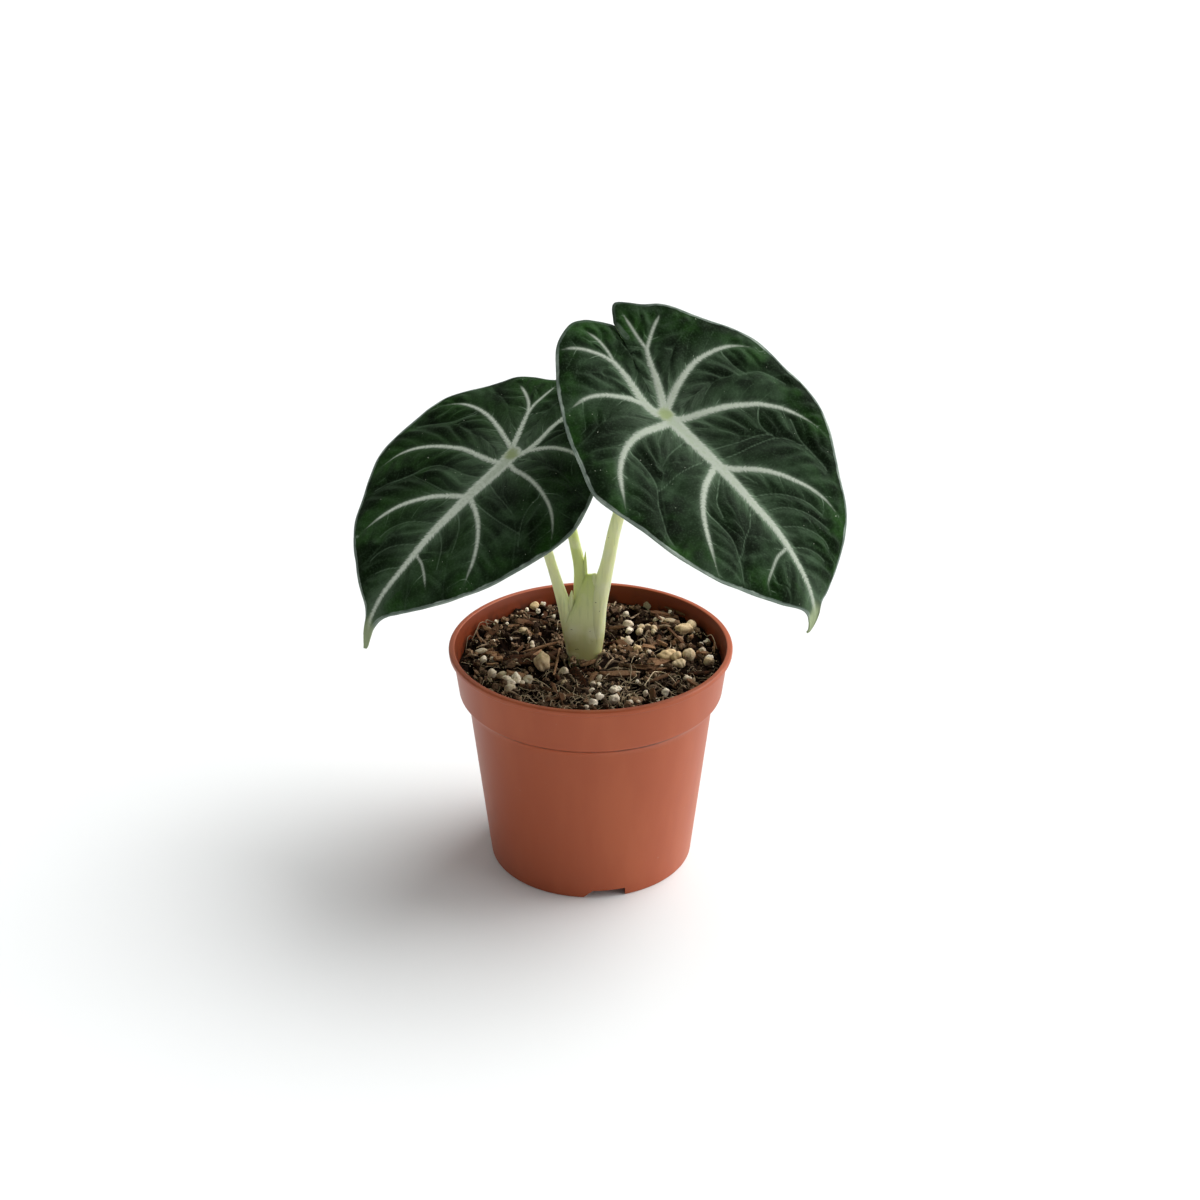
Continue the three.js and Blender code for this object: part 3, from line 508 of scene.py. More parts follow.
# What the veins do at each point (v, u) of a blade:
# veinEdge    distance outside the nearest main vein's edge, negative within the vein
# halo        the pale feathering beside a main vein, widest by the petiole and beside thick veins
# course      place along the nearest main vein, leaning outwards as side veins do
# fineEdge    distance to the nearest fine vein
# sideWave    1 on a side vein and -1 halfway between two: the cosine of a phase that grows along the
#             nearest main vein by one a spacing, less the lean and curve of a side vein over distance
# meeting     distance to the line where the side veins of two main veins meet
# ribs        how far the lower face stands out
def veinFields(leaf, v, u):
    points = np.stack([u.ravel(), v.ravel()], -1)
    along, across = points.T
    wander = 0.7 * noise(along / 6, across / 6) + 0.35 * noise(along / 2, across / 2)
    wander = wander + blade["sideWander"] * noise(along / 14 + 5, across / 14)
    halo = 0.55 * np.exp(-((np.hypot(along, across) / blade["glowReach"]) ** 2))
    edges, phases, ribs, courses = [], [], [], []
    rim = np.concatenate([np.stack([u[:, k], v[:, k]], -1) for k in (0, -1)])
    for k, (first, last, curve) in enumerate(leaf["veins"]):
        ends = last < 0.5  # thicker ones go on as the two veins they part into
        if ends:
            course = np.subtract(curve[-1], curve[-2])
            left = np.linalg.norm(rim - curve[-1], axis=1).min()  # it fades out before the margin
            longer = np.clip(0.8 * left - 0.5, 0.5, 9) * min(first, 1)
            curve = [*curve, tuple(curve[-1] + longer * course / np.linalg.norm(course))]
        gap, place, length = nearestOnCurve(points, curve)
        t = place / length
        taper = (1 - t) ** (1 if k else leaf["midribTaper"])
        half = last + (first - last) * taper - (last + 0.5) * smooth(0.7, 1, t) * ends
        edges.append(gap - half)
        thick = np.maximum(half, 0.05)
        beyond = np.clip(gap - half, 0, None)
        near = np.exp(-((beyond / (0.5 + 0.8 * thick)) ** 1.2)) * (0.3 + 0.7 * smooth(0.1, 1.6, half))
        wide = 0.4 * np.exp(-beyond / (0.8 + 2 * thick)) * smooth(0.3, 1.5, half)
        halo = np.maximum(halo, np.maximum(near, wide))
        ribs.append(thick * np.sqrt(np.clip(1 - (gap / (1.25 * thick)) ** 2, 0, 1)))
        lean = place - blade["sideForward"] * gap - blade["sideCurve"] * gap**2
        phases.append((lean + 1.3 * wander) / blade["sideSpacing"] + 0.37 * k)
        courses.append(lean + 60 * k)
    nearest = np.argmin(edges, axis=0), np.arange(len(points))
    order = np.sort(edges, axis=0)
    fine = np.min([nearestOnCurve(points, curve)[0] for curve in leaf["fineVeins"]], axis=0)
    fields = {
        "veinEdge": order[0],
        "halo": halo,
        "course": np.array(courses)[nearest],
        "fineEdge": fine,
        "sideWave": np.cos(2 * np.pi * np.array(phases)[nearest]),
        "meeting": (order[1] - order[0]) / 2,
        "ribs": np.max(ribs, axis=0),
    }
    return {label: numbers.reshape(v.shape) for label, numbers in fields.items()}


# Distance from points to the nearest of the margin's points, only where it is small enough to matter.
def marginDistance(v, u, share):
    rim = np.concatenate([np.stack([v[:, 0], u[:, 0]], -1), np.stack([v[:, -1], u[:, -1]], -1)])
    distance = np.full(v.shape, 20.0)
    close = np.abs(share) > 0.6
    points = np.stack([v[close], u[close]], -1)
    gaps = [np.linalg.norm(part[:, None] - rim, axis=2).min(1) for part in np.array_split(points, 60)]
    distance[close] = np.concatenate(gaps)
    return distance


# Bow points and margin points of one half's lines. The margin is moved out by its small waves, square to
# its own course: outward = (du, -dv) on the right half and (-du, dv) on the left.
def halfLines(leaf, half, place):
    line = curveThrough(leaf[half], place)
    course = np.gradient(line[:, 2:], axis=0)
    course /= np.linalg.norm(course, axis=1, keepdims=True) + 1e-9
    outward = np.stack([course[:, 1], -course[:, 0]], -1) * (1 if half == "right" else -1)
    rim = leaf[half + "Rim"]
    waves = curveThrough(np.array(rim)[:, None], place / 14 * (len(rim) - 1))
    line[:, 2:] += outward * waves
    return line


# A whole blade: an upper face, a coarser lower face with the same rows, and a rounded strip between
# them round the margin. A row is the curve (1 - t)² a + 2t(1 - t) b + t² c from the midrib a by the bow
# point b to the margin c. Row 0 is one and the same line for both halves, and the last row closes to a
# point at the drip tip. The relief is added along the surface's normal.
def makeBlade(name, leaf):
    rows, columns = blade["rows"], blade["columns"]
    place = np.linspace(0, 14, rows)
    share = np.linspace(-1, 1, 2 * columns + 1)
    rib = curveThrough(leaf["rib"], place)[:, None]
    halves = [halfLines(leaf, half, place)[:, None] for half in ("left", "right")]
    t = np.abs(share)[None, :, None]
    lines = np.where((share < 0)[None, :, None], halves[0], halves[1])
    fan = (1 - t) ** 2 * rib + 2 * t * (1 - t) * lines[..., :2] + t**2 * lines[..., 2:]
    v, u = fan[..., 0], fan[..., 1]
    edge = np.broadcast_to(np.abs(share), v.shape)
    point = bladeSurface(leaf, v, u, edge)
    alongV = bladeSurface(leaf, v + 0.2, u, edge) - point
    alongU = bladeSurface(leaf, v, u + 0.2, edge) - point
    normal = np.cross(alongU, alongV)
    normal /= np.linalg.norm(normal, axis=-1, keepdims=True)

    fields = veinFields(leaf, v, u)
    margin = marginDistance(v, u, np.broadcast_to(share, v.shape))
    tipFade = np.clip((14 - place) / 2, 0, 1)[:, None]
    outside = np.clip(fields["veinEdge"], 0, None)
    apart = smooth(0.3, 2.5, outside) * smooth(0.8, 5, margin) * tipFade
    fine = fields["fineEdge"]
    fineDip = blade["fineDip"] * np.exp(-((fine / 0.8) ** 2))
    fineDip = fineDip + blade["wideDip"] * np.exp(-((fine / 3.6) ** 2))
    meetDip = 0.5 * blade["wideDip"] * np.exp(-(fields["meeting"] ** 2)) * smooth(3, 8, outside)
    dome = blade["dome"] * apart * (1 - (0.5 + 0.5 * fields["sideWave"]) ** 1.5)
    dome = dome * (0.3 + 1.2 * (noise(u / 9 + 9, v / 9) + 0.5)) * smooth(0.8, 4, fine)
    dome = dome - apart * np.maximum(fineDip, meetDip)
    # how far the relief faces the back right: its fall that way, over the leaf's own surface. The colour
    # layers use it to paint shade and light on the relief.
    rowStep, columnStep = np.gradient(point, axis=0), np.gradient(point, axis=1)
    rowRise, columnRise = np.gradient(dome, axis=0), np.gradient(dome, axis=1)
    a, c = np.sum(rowStep**2, -1), np.sum(columnStep**2, -1)
    b = np.sum(rowStep * columnStep, -1)
    area = a * c - b * b + 1e-9
    rise = rowStep * ((c * rowRise - b * columnRise) / area)[..., None]
    rise = rise + columnStep * ((a * columnRise - b * rowRise) / area)[..., None]
    facing = np.clip(-rise @ np.array(blade["light"]), -1, 1)
    broad = blade["sink"] * (1 - np.exp(-((outside / 4) ** 2))) * tipFade * smooth(0, 6, margin + 2)
    wave = leaf["wave"][0] * edge**5 * np.sin(1.3 * place[:, None] + leaf["wave"][1]) * tipFade
    crown = blade["crown"] * smooth(0.3, -0.8, fields["veinEdge"])
    buckle = blade["buckle"] * noise(u / 13 + 3, v / 13 + 7) * smooth(2, 12, outside) * tipFade
    nearNotch = smooth(2.2, 1.2, place[:, None]) * smooth(0, 0.4, place[:, None])
    rightLift, leftLift = blade["lift"]
    fold = rightLift * smooth(0.55, 1, share) ** 2 + leftLift * smooth(0.55, 1, -share) ** 2
    top = wave + broad + dome + crown + buckle + fold * nearNotch - 0.25
    upper = point + normal * top[..., None]

    every = slice(None, None, blade["underEvery"])
    depth = blade["thickness"] * (0.76 + 0.24 * smooth(0, 3, margin))
    depth = depth + 0.6 * blade["ribDepth"] * fields["ribs"] * tipFade
    lower = (upper - normal * depth[..., None])[:, every]
    # the margin's own strip: one more row of points, pushed out between the two faces
    outward = [upper[:, k] - upper[:, k + step] for k, step in ((0, 2), (-1, -2))]
    between = []
    for k, away in zip((0, -1), outward):
        distance = np.linalg.norm(away, axis=-1, keepdims=True) + 1e-6
        between.append((upper[:, k] + lower[:, k]) / 2 + blade["marginBulge"] * away / distance)
    for part in (upper, lower):
        part[-1] = upper[-1, columns] - 0.3 * normal[-1, columns]
    for part in between:
        part[-1] = upper[-1, columns]
    wide, thin = upper.shape[1], lower.shape[1]
    firstLower = rows * wide
    firstLeft = firstLower + rows * thin
    firstRight = firstLeft + rows
    points = np.concatenate([upper.reshape(-1, 3), lower.reshape(-1, 3), *between])
    i = np.arange(rows - 1)
    strips = []
    for first, top0, low0, flip in (
        (firstLeft, i * wide, firstLower + i * thin, False),
        (firstRight, i * wide + wide - 1, firstLower + i * thin + thin - 1, True),
    ):
        for a, b, stepA, stepB in ((top0, first + i, wide, 1), (first + i, low0, 1, thin)):
            quad = np.stack([a, b, b + stepB, a + stepA], -1)
            strips.append(quad[:, ::-1] if flip else quad)
    faces = np.concatenate([
        gridFaces(rows, wide)[:, ::-1],
        gridFaces(rows, thin, first=firstLower),
        *strips,
    ])

    # numbers on the upper grid, brought to all points: lower face and both strips too
    def onAll(numbers, strip=None):
        numbers = np.broadcast_to(numbers, v.shape)
        ends = [numbers[:, 0], numbers[:, -1]] if strip is None else [np.full(rows, strip)] * 2
        return np.concatenate([numbers.ravel(), numbers[:, every].ravel(), *ends])

    values = {label: onAll(numbers) for label, numbers in fields.items() if label != "ribs"}
    values["margin"] = onAll(margin, strip=0.0)
    # the pale rim fades out towards the notch, and the tip's paler colour comes in, partly a painted sheen
    values["rimShow"] = onAll(0.12 + 0.88 * smooth(2, 4.5, place)[:, None])
    values["tipShow"] = onAll(smooth(10.8, 13.3, place)[:, None])
    # painted light and shade of the relief
    values["facing"] = onAll(facing)
    values["along"] = onAll(u)
    values["across"] = onAll(v)
    values["below"] = np.repeat([0.0, 1.0, 0.0], [rows * wide, rows * thin, 2 * rows])
    piece = makePiece(name, points, faces, values=values)
    weld(piece)
    return piece


leafColours = {
    "bloom": "#30432e",  # painted sheen: the velvet's grey shimmer over parts of the blade
    "bright": "#1f4012",
    # darkest green: the blade's own deepest tone, also used as painted shade
    "hollow": "#071005",
    # pale side veins; this colour is also painted light on relief slopes
    "sideVein": "#4b6049",
    "fineVein": "#5b6f59",
    "halo": "#6b7d68",
    "midrib": "#96a38b",  # along the middle of the thick veins
    "spot": "#8a9868",  # where the petiole is joined
    "rim": "#77847a",
    "rimPale": "#98a498",
    "rimLine": "#35443a",
    # the drip tip's paler colour, partly a painted sheen
    "tip": "#8f9b78",
    "speck": "#8f9785",
    "under": "#6f8a5c",
    "underVein": "#a3b184",
}


# What the layers of colour read: noises by the size of their grain in millimetres and their detail.
leafGrains = {
    "frayed": (1.2, 4.0),
    "rimWaver": (8, 3.0),
    "spotWaver": (3, 3.0),
    "breaks": (9, 2.0),
    "streaks": (5, 1.0),
    "hollows": (8, 2.0),
    "shades": (16, 2.0),
    "nap": (0.8, 2.0),  # the velvet's own fine grain
    "glows": (9, 4.0),
    "paintedSheenPatches": (26, 3.0),
    "brights": (15, 3.0),
    "rimTones": (11, 3.0),
    "mottle": (1.3, 2.0),
    "specks": (1.1, 0.0),
    "velvet": (0.7, 2.0),
}
# Layers of the upper face, from the lowest up: colour, strength, and where it shows, each as a value and
# what it goes from and to.
leafLayers = [
    # painted sheen: the velvet's grey shimmer in patches and beside the midrib
    ("bloom", 1.0, ("bloomShare",)),
    ("bright", 0.9, ("margin", 20, 2), ("brights", 0.38, 0.7)),
    # painted shade: dark bands halfway between side veins, in patches, for the quilted relief
    ("hollow", 0.3, ("sideWave", 0, -1), ("hollows", 0.45, 0.65)),
    ("hollow", 0.85, ("shades", 0.38, 0.58), ("veinEdge", 1, 9)),
    # painted shade and painted light on the relief: slopes turned one way are painted darker, the others
    # paler
    ("hollow", 0.45, ("facing", -0.02, -0.35)),
    ("sideVein", 0.22, ("facing", 0.03, 0.4)),
    # the tip greyed with the halo colour, partly a painted sheen
    ("halo", 0.4, ("tipShow", 0, 0.7)),
    ("sideVein", 0.42, ("sideWave", 0.95, 1), ("breaks", 0.42, 0.62), ("margin", 1.5, 5)),
    ("sideVein", 0.2, ("meeting", 0.6, 0), ("veinEdge", 4, 9)),
    ("fineVein", 1.0, ("fineEdge", 0.5, 0.1), ("margin", 1.5, 5), ("veinEdge", 8, 0.5, 0.4, 0.9)),
    ("sideVein", 0.16, ("nap", 0.48, 0.7)),
    ("hollow", 0.25, ("nap", 0.5, 0.3)),
    # side veins are pale streaks of uneven length beside a main vein
    ("halo", 0.9, ("sideWave", 0.95, 1), ("streakEdge", 1.4, -2.6), ("veinEdge", 5, 0)),
    ("halo", 1.0, ("halo",), ("barbs", 0.3, 0.65, 0.4, 0.85)),
    ("vein", 1.0, ("frayedEdge", 0.7, -0.65)),
    ("midrib", 0.45, ("frayedEdge", -0.8, -2.4), ("along", 30, 8)),
    ("midrib", 0.45, ("frayedEdge", -0.2, -0.9), ("mottle", 0.48, 0.62)),
    ("spot", 0.9, ("spotEdge", 4.5, 1), ("frayedEdge", 0.5, -0.3)),
    ("rim", 0.9, ("rimEdge", 1.25, 0.6), ("rimShow",)),
    ("rimPale", 0.9, ("rimEdge", 1.25, 0.6), ("rimShow",), ("rimTones", 0.45, 0.65)),
    ("rimLine", 0.6, ("margin", 0.35, 0.6), ("margin", 0.85, 0.6)),
    # the drip tip's paler colour, partly a painted sheen
    ("tip", 1.0, ("tipShow", 0.6, 1)),
    ("speck", 0.7, ("specks", 0.855, 0.88)),
]
underLayers = [
    ("underVein", 1.0, ("frayedEdge", 0.6, -0.2)),
    ("underVein", 0.4, ("sideWave", 0.75, 1)),
    ("underVein", 0.5, ("fineEdge", 0.6, 0.1)),
]


# Living leaf with a velvety upper face: tiny domed cells that scatter light at grazing angles, so it
# has no gloss but a soft sheen, and its veins are paler tissue with a feathered edge.
def leafSkin(leaf):
    material, tree, shader = startMaterial(leaf["skin"], {
        "Roughness": 0.6,
        "IOR": 1.42,
        "Specular IOR Level": 0.035,
        "Sheen Weight": 0.012,
        "Sheen Roughness": 0.4,
        "Sheen Tint": linear("#c8d6c4"),
    })
    place = addNode(tree, "TexCoord").outputs["Object"]
    values = {}
    for label in ("veinEdge", "halo", "course", "fineEdge", "sideWave", "meeting", "margin", "rimShow",
                  "tipShow", "facing", "along", "across", "below"):
        values[label] = addNode(tree, "Attribute", {"attribute_name": label}).outputs["Fac"]
    for label, (size, detail) in leafGrains.items():
        settings = {"Vector": place, "Scale": 1 / (size * mm), "Detail": detail, "Roughness": 0.6}
        values[label] = addNode(tree, "TexNoise", {}, settings).outputs[0]
    # hair-fine barbs beside the veins: noise drawn out across them
    flow = addNode(tree, "CombineXYZ", {}, {0: values["course"], 1: values["veinEdge"]}).outputs[0]
    combed = addNode(tree, "Mapping", {}, {0: flow, 3: (1.15, 0.22, 1)}).outputs[0]
    barbs = addNode(tree, "TexNoise", {}, {"Vector": combed, "Scale": 1.0, "Detail": 2.0})
    values["barbs"] = barbs.outputs[0]
    away = addNode(tree, "CombineXYZ", {}, {0: values["along"], 1: values["across"]}).outputs[0]
    distance = addNode(tree, "VectorMath", {"operation": "LENGTH"}, {0: away}).outputs["Value"]
    values["fromPetiole"] = distance
    values["thickness"] = layerShare(tree, 1.0, [(values["halo"], 0.1, 0.75)])
    # edges in mm that noises move in and out, and the painted sheen, strongest beside the midrib
    values["bloomPatch"] = layerShare(tree, 0.8, [(values["paintedSheenPatches"], 0.45, 0.66)])
    for label, operation, *terms in (
        ("barbReach", "MULTIPLY_ADD", "barbs", 3.0, -1.5),
        ("frayReach", "MULTIPLY_ADD", "frayed", 1.2, -0.6),
        ("feather", "ADD", "barbReach", "frayReach"),
        ("frayedEdge", "MULTIPLY_ADD", "feather", "thickness", "veinEdge"),
        ("rimReach", "MULTIPLY_ADD", "rimWaver", 1.8, -0.9),
        ("rimEdge", "ADD", "margin", "rimReach"),
        ("spotReach", "MULTIPLY_ADD", "spotWaver", 5.0, -2.5),
        ("spotEdge", "ADD", "fromPetiole", "spotReach"),
        ("streakLength", "MULTIPLY_ADD", "streaks", 20.0, -8.2),
        ("streakEdge", "SUBTRACT", "veinEdge", "streakLength"),
        ("fromMidrib", "ABSOLUTE", "across"),
    ):
        inputs = dict(enumerate(values.get(term, term) for term in terms))
        values[label] = addNode(tree, "Math", {"operation": operation}, inputs).outputs[0]
    glow = layerShare(tree, 0.85, [(values["fromMidrib"], 20, 2), (values["glows"], 0.35, 0.65)])
    values["bloomShare"] = addNode(tree, "Math", {"operation": "MAXIMUM"}, {
        0: values["bloomPatch"], 1: glow,
    }).outputs[0]
    colours = {**leafColours, "vein": leaf["vein"]}
    upper, under = (
        paint(tree, base, [
            (colours[over], strength, *((values[label], *span) for label, *span in conditions))
            for over, strength, *conditions in layers
        ])
        for base, layers in ((leaf["dark"], leafLayers), (colours["under"], underLayers))
    )
    both = addNode(tree, "Mix", {"data_type": "RGBA"}, {0: values["below"], 6: upper, 7: under})
    tree.links.new(both.outputs[2], shader.inputs["Base Color"])
    settings = {"Strength": 0.25, "Distance": 0.15 * mm, "Height": values["velvet"]}
    tree.links.new(addNode(tree, "Bump", {}, settings).outputs[0], shader.inputs["Normal"])
    return material


fit(makeBlade("leftLeaf", leftLeaf), leafSkin(leftLeaf), "leaf_blade", "left_leaf_blade")
fit(makeBlade("rightLeaf", rightLeaf), leafSkin(rightLeaf), "leaf_blade", "right_leaf_blade")

# Stalks. Each is a path of x, y, z and radius from below the mix to the leaf, and the free tip of its
# sheath as a short path of its own.

stalks = {
    "steps": 150,
    "sides": 56,
    "ridge": 0.22,  # height of the sheath's two edges along a stalk
    # each stalk's groove is the angle of its groove in degrees, and its sheath ends at sheathTo
    "left": {
        "path": [
            (-5.6, 5.6, 74, 3.6), (-6.2, 5.6, 89.7, 3.7), (-8.3, 5.7, 101.7, 3.6), (-11.2, 6.2, 114, 2.9),
            (-14.5, 7, 125.6, 2.3), (-17.4, 8, 135.8, 2.15), (-21.8, 9, 151.8, 2.1),
            (-27.4, 9.8, 168.1, 2.1), (-32, 10.1, 179.6, 2.4),
        ],
        "tip": [
            (-8.6, 5.2, 108, 1.7), (-8.4, 5, 114, 1.4), (-8.1, 4.8, 118.5, 0.9), (-7.9, 4.6, 121.4, 0.2),
        ],
        "groove": -60,
        "sheathTo": 120,
    },
    "middle": {
        "path": [
            (-2.4, 6.4, 74, 4.2), (-2.8, 6.3, 89.7, 4.3), (-3, 6.4, 101, 4.2), (-3.6, 6.9, 112, 3.8),
            (-4, 7.4, 122, 3.2), (-4.6, 7.7, 131, 2.6), (-6.5, 8.4, 141, 2.3), (-9, 9.6, 153, 2.1),
            (-10.3, 10.8, 162, 2.2),
        ],
        "tip": [
            (-2.8, 6.6, 118, 2), (-2.6, 6.5, 126, 1.5), (-2.3, 6.4, 133, 0.8), (-2.1, 6.4, 138.6, 0.12),
        ],
        "groove": -25,
        "sheathTo": 134,
    },
    "right": {
        "path": [
            (0.1, 5.4, 74, 4.1), (0.4, 5.4, 91, 4.2), (1.5, 5.3, 101.7, 4.4), (2.7, 5.1, 114, 4.2),
            (5.2, 4.5, 125.6, 3.5), (7.2, 3.8, 135, 2.9), (10.9, 1.2, 154.8, 2.65),
            (18.1, -3, 179.1, 2.5), (24.7, -6.2, 195.2, 2.5), (29.4, -7.9, 203.6, 2.8),
        ],
        "tip": [(2, 5.1, 112, 2.9), (1.8, 5, 122, 2.5), (1.7, 4.9, 127, 1.8), (1.6, 4.9, 129.2, 0.6)],
        "groove": 150,
        "sheathTo": 132,
    },
}


# Rings of points round a path of x, y, z and radius. Angle 0 looks along +x and -90 to the front. The
# radius is that of the path, times a factor worked out from height and angle.
def ringsAlong(path, steps, sides, factor=None):
    course = curveThrough(path, np.linspace(0, len(path) - 1, steps))
    centre, radius = course[:, :3], course[:, 3]
    along = np.gradient(centre, axis=0)
    along /= np.linalg.norm(along, axis=1, keepdims=True)
    first = np.array([1.0, 0, 0]) - along * along[:, :1]
    first /= np.linalg.norm(first, axis=1, keepdims=True)
    second = np.cross(along, first)
    angle = around(sides)[None]
    reach = radius[:, None] * (np.ones((1, sides)) if factor is None else factor(centre[:, 2:], angle))
    turn = first[:, None] * np.cos(angle)[..., None] + second[:, None] * np.sin(angle)[..., None]
    return centre[:, None] + reach[..., None] * turn


# A stalk's own section: slightly flattened, with the two edges of its sheath as low ridges each side of
# a shallow groove that fades out above the sheath, and faint ribs along it.
def stalkSection(stalk):
    groove = np.radians(stalk["groove"])

    def factor(z, angle):
        turn = np.angle(np.exp(1j * (angle - groove)))
        sheath = smooth(stalk["sheathTo"] + 8, stalk["sheathTo"] - 14, z)
        width = 0.35 + 0.25 * smooth(stalk["sheathTo"], 90, z)
        edges = np.exp(-(((np.abs(turn) - width) / 0.13) ** 2))
        hollow = np.exp(-((turn / width) ** 4))
        ribs = 0.008 * np.sin(9 * angle + 1.3 * np.sin(z / 19)) + 0.006 * np.sin(17 * angle + z / 31)
        swell = 0.02 * np.sin(z / 7 + 2 * angle) * smooth(140, 100, z)
        return 1 + sheath * (stalks["ridge"] / 3.5 * edges - 0.07 * hollow) + ribs + swell

    return factor


# A stalk, the free tip of its sheath, and what else belongs to it.
def makeStalk(name, stalk, *extra):
    main = ringsAlong(stalk["path"], stalks["steps"], stalks["sides"], stalkSection(stalk))
    return makePiece(name, *tubes(main, ringsAlong(stalk["tip"], 26, 24), *extra))


stalkColours = {
    "foot": "#b9b57c",
    "middle": "#e8ebb4",
    "upper": "#eff2b8",
    "pale": "#f0f0d2",
    "streak": "#bfc98c",
    "speck": "#5a5334",
    "young": "#d3dc8c",  # the upper part of the youngest stalk
}


# Fleshy petiole: moist translucent tissue under a thin waxy skin, so light enters it a little way and
# its gloss is soft; greener and duller towards the mix.
def stalkSkin(name, tint):
    material, tree, shader = startMaterial(name, {
        "Roughness": 0.42,
        "IOR": 1.4,
        "Subsurface Weight": 0.3,
        "Subsurface Scale": 2 * mm,
        "Subsurface Radius": (1.0, 0.9, 0.4),
        "Specular IOR Level": 0.4,
    })
    place = addNode(tree, "TexCoord").outputs["Object"]
    height = addNode(tree, "SeparateXYZ", {}, {0: place}).outputs[2]
    patterns = []
    # streaks drawn out along the stalk, round blotches, and flat specks: grain across and along in mm
    for across, along, detail in ((1.1, 22, 3.0), (9, 9, 3.0), (1.9, 0.9, 1.0)):
        scale = (1 / (across * mm), 1 / (across * mm), 1 / (along * mm))
        drawn = addNode(tree, "Mapping", {}, {0: place, 3: scale}).outputs[0]
        pattern = addNode(tree, "TexNoise", {}, {"Vector": drawn, "Scale": 1.0, "Detail": detail})
        patterns.append(pattern.outputs[0])
    streaks, blotches, specks = patterns
    colour = paint(tree, stalkColours["middle"], [
        (tint, 1.0, (height, 106 * mm, 128 * mm)),
        (stalkColours["foot"], 1.0, (height, 112 * mm, 90 * mm)),
        (stalkColours["pale"], 0.45, (blotches, 0.5, 0.7)),
        (stalkColours["streak"], 0.4, (streaks, 0.5, 0.75)),
        (stalkColours["speck"], 0.85, (specks, 0.78, 0.8)),
    ])
    tree.links.new(colour, shader.inputs["Base Color"])
    bump = addNode(tree, "Bump", {}, {"Strength": 0.2, "Distance": 0.15 * mm, "Height": streaks})
    tree.links.new(bump.outputs[0], shader.inputs["Normal"])
    return material


# Low down the three stalks are wrapped together, and the wrap runs up between the two on the right. It
# is a tube of rounded oblong sections, each the superellipse |x / a|^p + |y / b|^p = 1; rows are
# height, centre x, y, half width and half depth.
wrap = {
    "power": 2.7,
    "steps": 60,
    "sides": 64,
    "rows": [
        (74, -2.8, 5.3, 6.6, 4.6), (89, -2.8, 5.3, 7, 4.7), (97, -2.9, 5.3, 7.8, 4.75),
        (103, -3, 5.3, 8.5, 4.7), (107, -2.7, 5.3, 8.5, 4.5), (111, -1.6, 5.3, 7.6, 4.3),
        (116, -0.4, 5.3, 6.2, 3.9), (121, 0.1, 5.2, 4.9, 3.2), (125, 0.3, 5.2, 3.8, 2.4),
        (127.4, 0.5, 5.2, 2.8, 1.6), (128.6, 0.6, 5.2, 1.9, 0.8),
    ],
}


# In polar form the radius is r = (|cos a / half width|^p + |sin a / half depth|^p)^(-1 / p).
def wrapRings():
    row = curveThrough(wrap["rows"], np.linspace(0, len(wrap["rows"]) - 1, wrap["steps"]))
    height, x, y, a, b = row.T[..., None]
    angle = around(wrap["sides"])
    power = wrap["power"]
    reach = np.abs(np.cos(angle) / a) ** power + np.abs(np.sin(angle) / b) ** power
    return ringOf(reach ** (-1 / power), height, angle) + np.stack([x, y, 0 * x], -1)


# The youngest leaf is still rolled into a spear: a spindle whose section is one turn of a spiral, so
# that the free edge shows as a step that winds up it.
rolledLeaf = {
    "length": 30,
    "radius": 3.3,
    "foot": 2,  # radius where it leaves the stalk
    "overlap": 0.16,
    "turns": 0.6,
    "sides": 72,
    "steps": 90,
}


# Its radius is w (1 - overlap * share of the turn), where w follows half a sine from the foot and closes
# at the tip as the root of 1 - t³; faint veins wind round it.
def rolledRings():
    top, before = (np.array(p[:3]) for p in stalks["middle"]["path"][:-3:-1])
    course = (top - before) / np.linalg.norm(top - before)
    start = top - 4 * course
    course = course * 0.6 + np.array([0, 0, 0.4])
    course /= np.linalg.norm(course)
    t = np.linspace(0, 1, rolledLeaf["steps"])
    # as thin as the stalk where it leaves it, and thickest two fifths of the way up
    foot = rolledLeaf["foot"]
    girth = foot + (rolledLeaf["radius"] - foot) * np.sin(np.pi * np.minimum(1.25 * t, 1))
    width = np.maximum(girth * np.sqrt(1 - t**3), 0.25)
    angle = around(rolledLeaf["sides"])
    along = (angle / (2 * np.pi) + rolledLeaf["turns"] * t[:, None]) % 1
    veins = 0.012 * np.cos(2 * np.pi * (along * 9 + 5 * t[:, None]))
    reach = width[:, None] * (1 - rolledLeaf["overlap"] * along + veins)
    first = np.array([1.0, 0, 0]) - course * course[0]
    first /= np.linalg.norm(first)
    second = np.cross(course, first)
    turn = first * np.cos(angle)[:, None] + second * np.sin(angle)[:, None]
    return start + (t * rolledLeaf["length"])[:, None, None] * course + reach[..., None] * turn


paleStalk = stalkSkin("fleshy petiole skin", stalkColours["upper"])
youngStalk = stalkSkin("young petiole skin", stalkColours["young"])
fit(makeStalk("leftStalk", stalks["left"]), paleStalk, "petiole", "left_petiole")
fit(makeStalk("rightStalk", stalks["right"]), paleStalk, "petiole", "right_petiole")
youngLeaf = makeStalk("youngLeaf", stalks["middle"], rolledRings(), wrapRings())
fit(youngLeaf, youngStalk, "young_leaf", "young_leaf")

# Pot

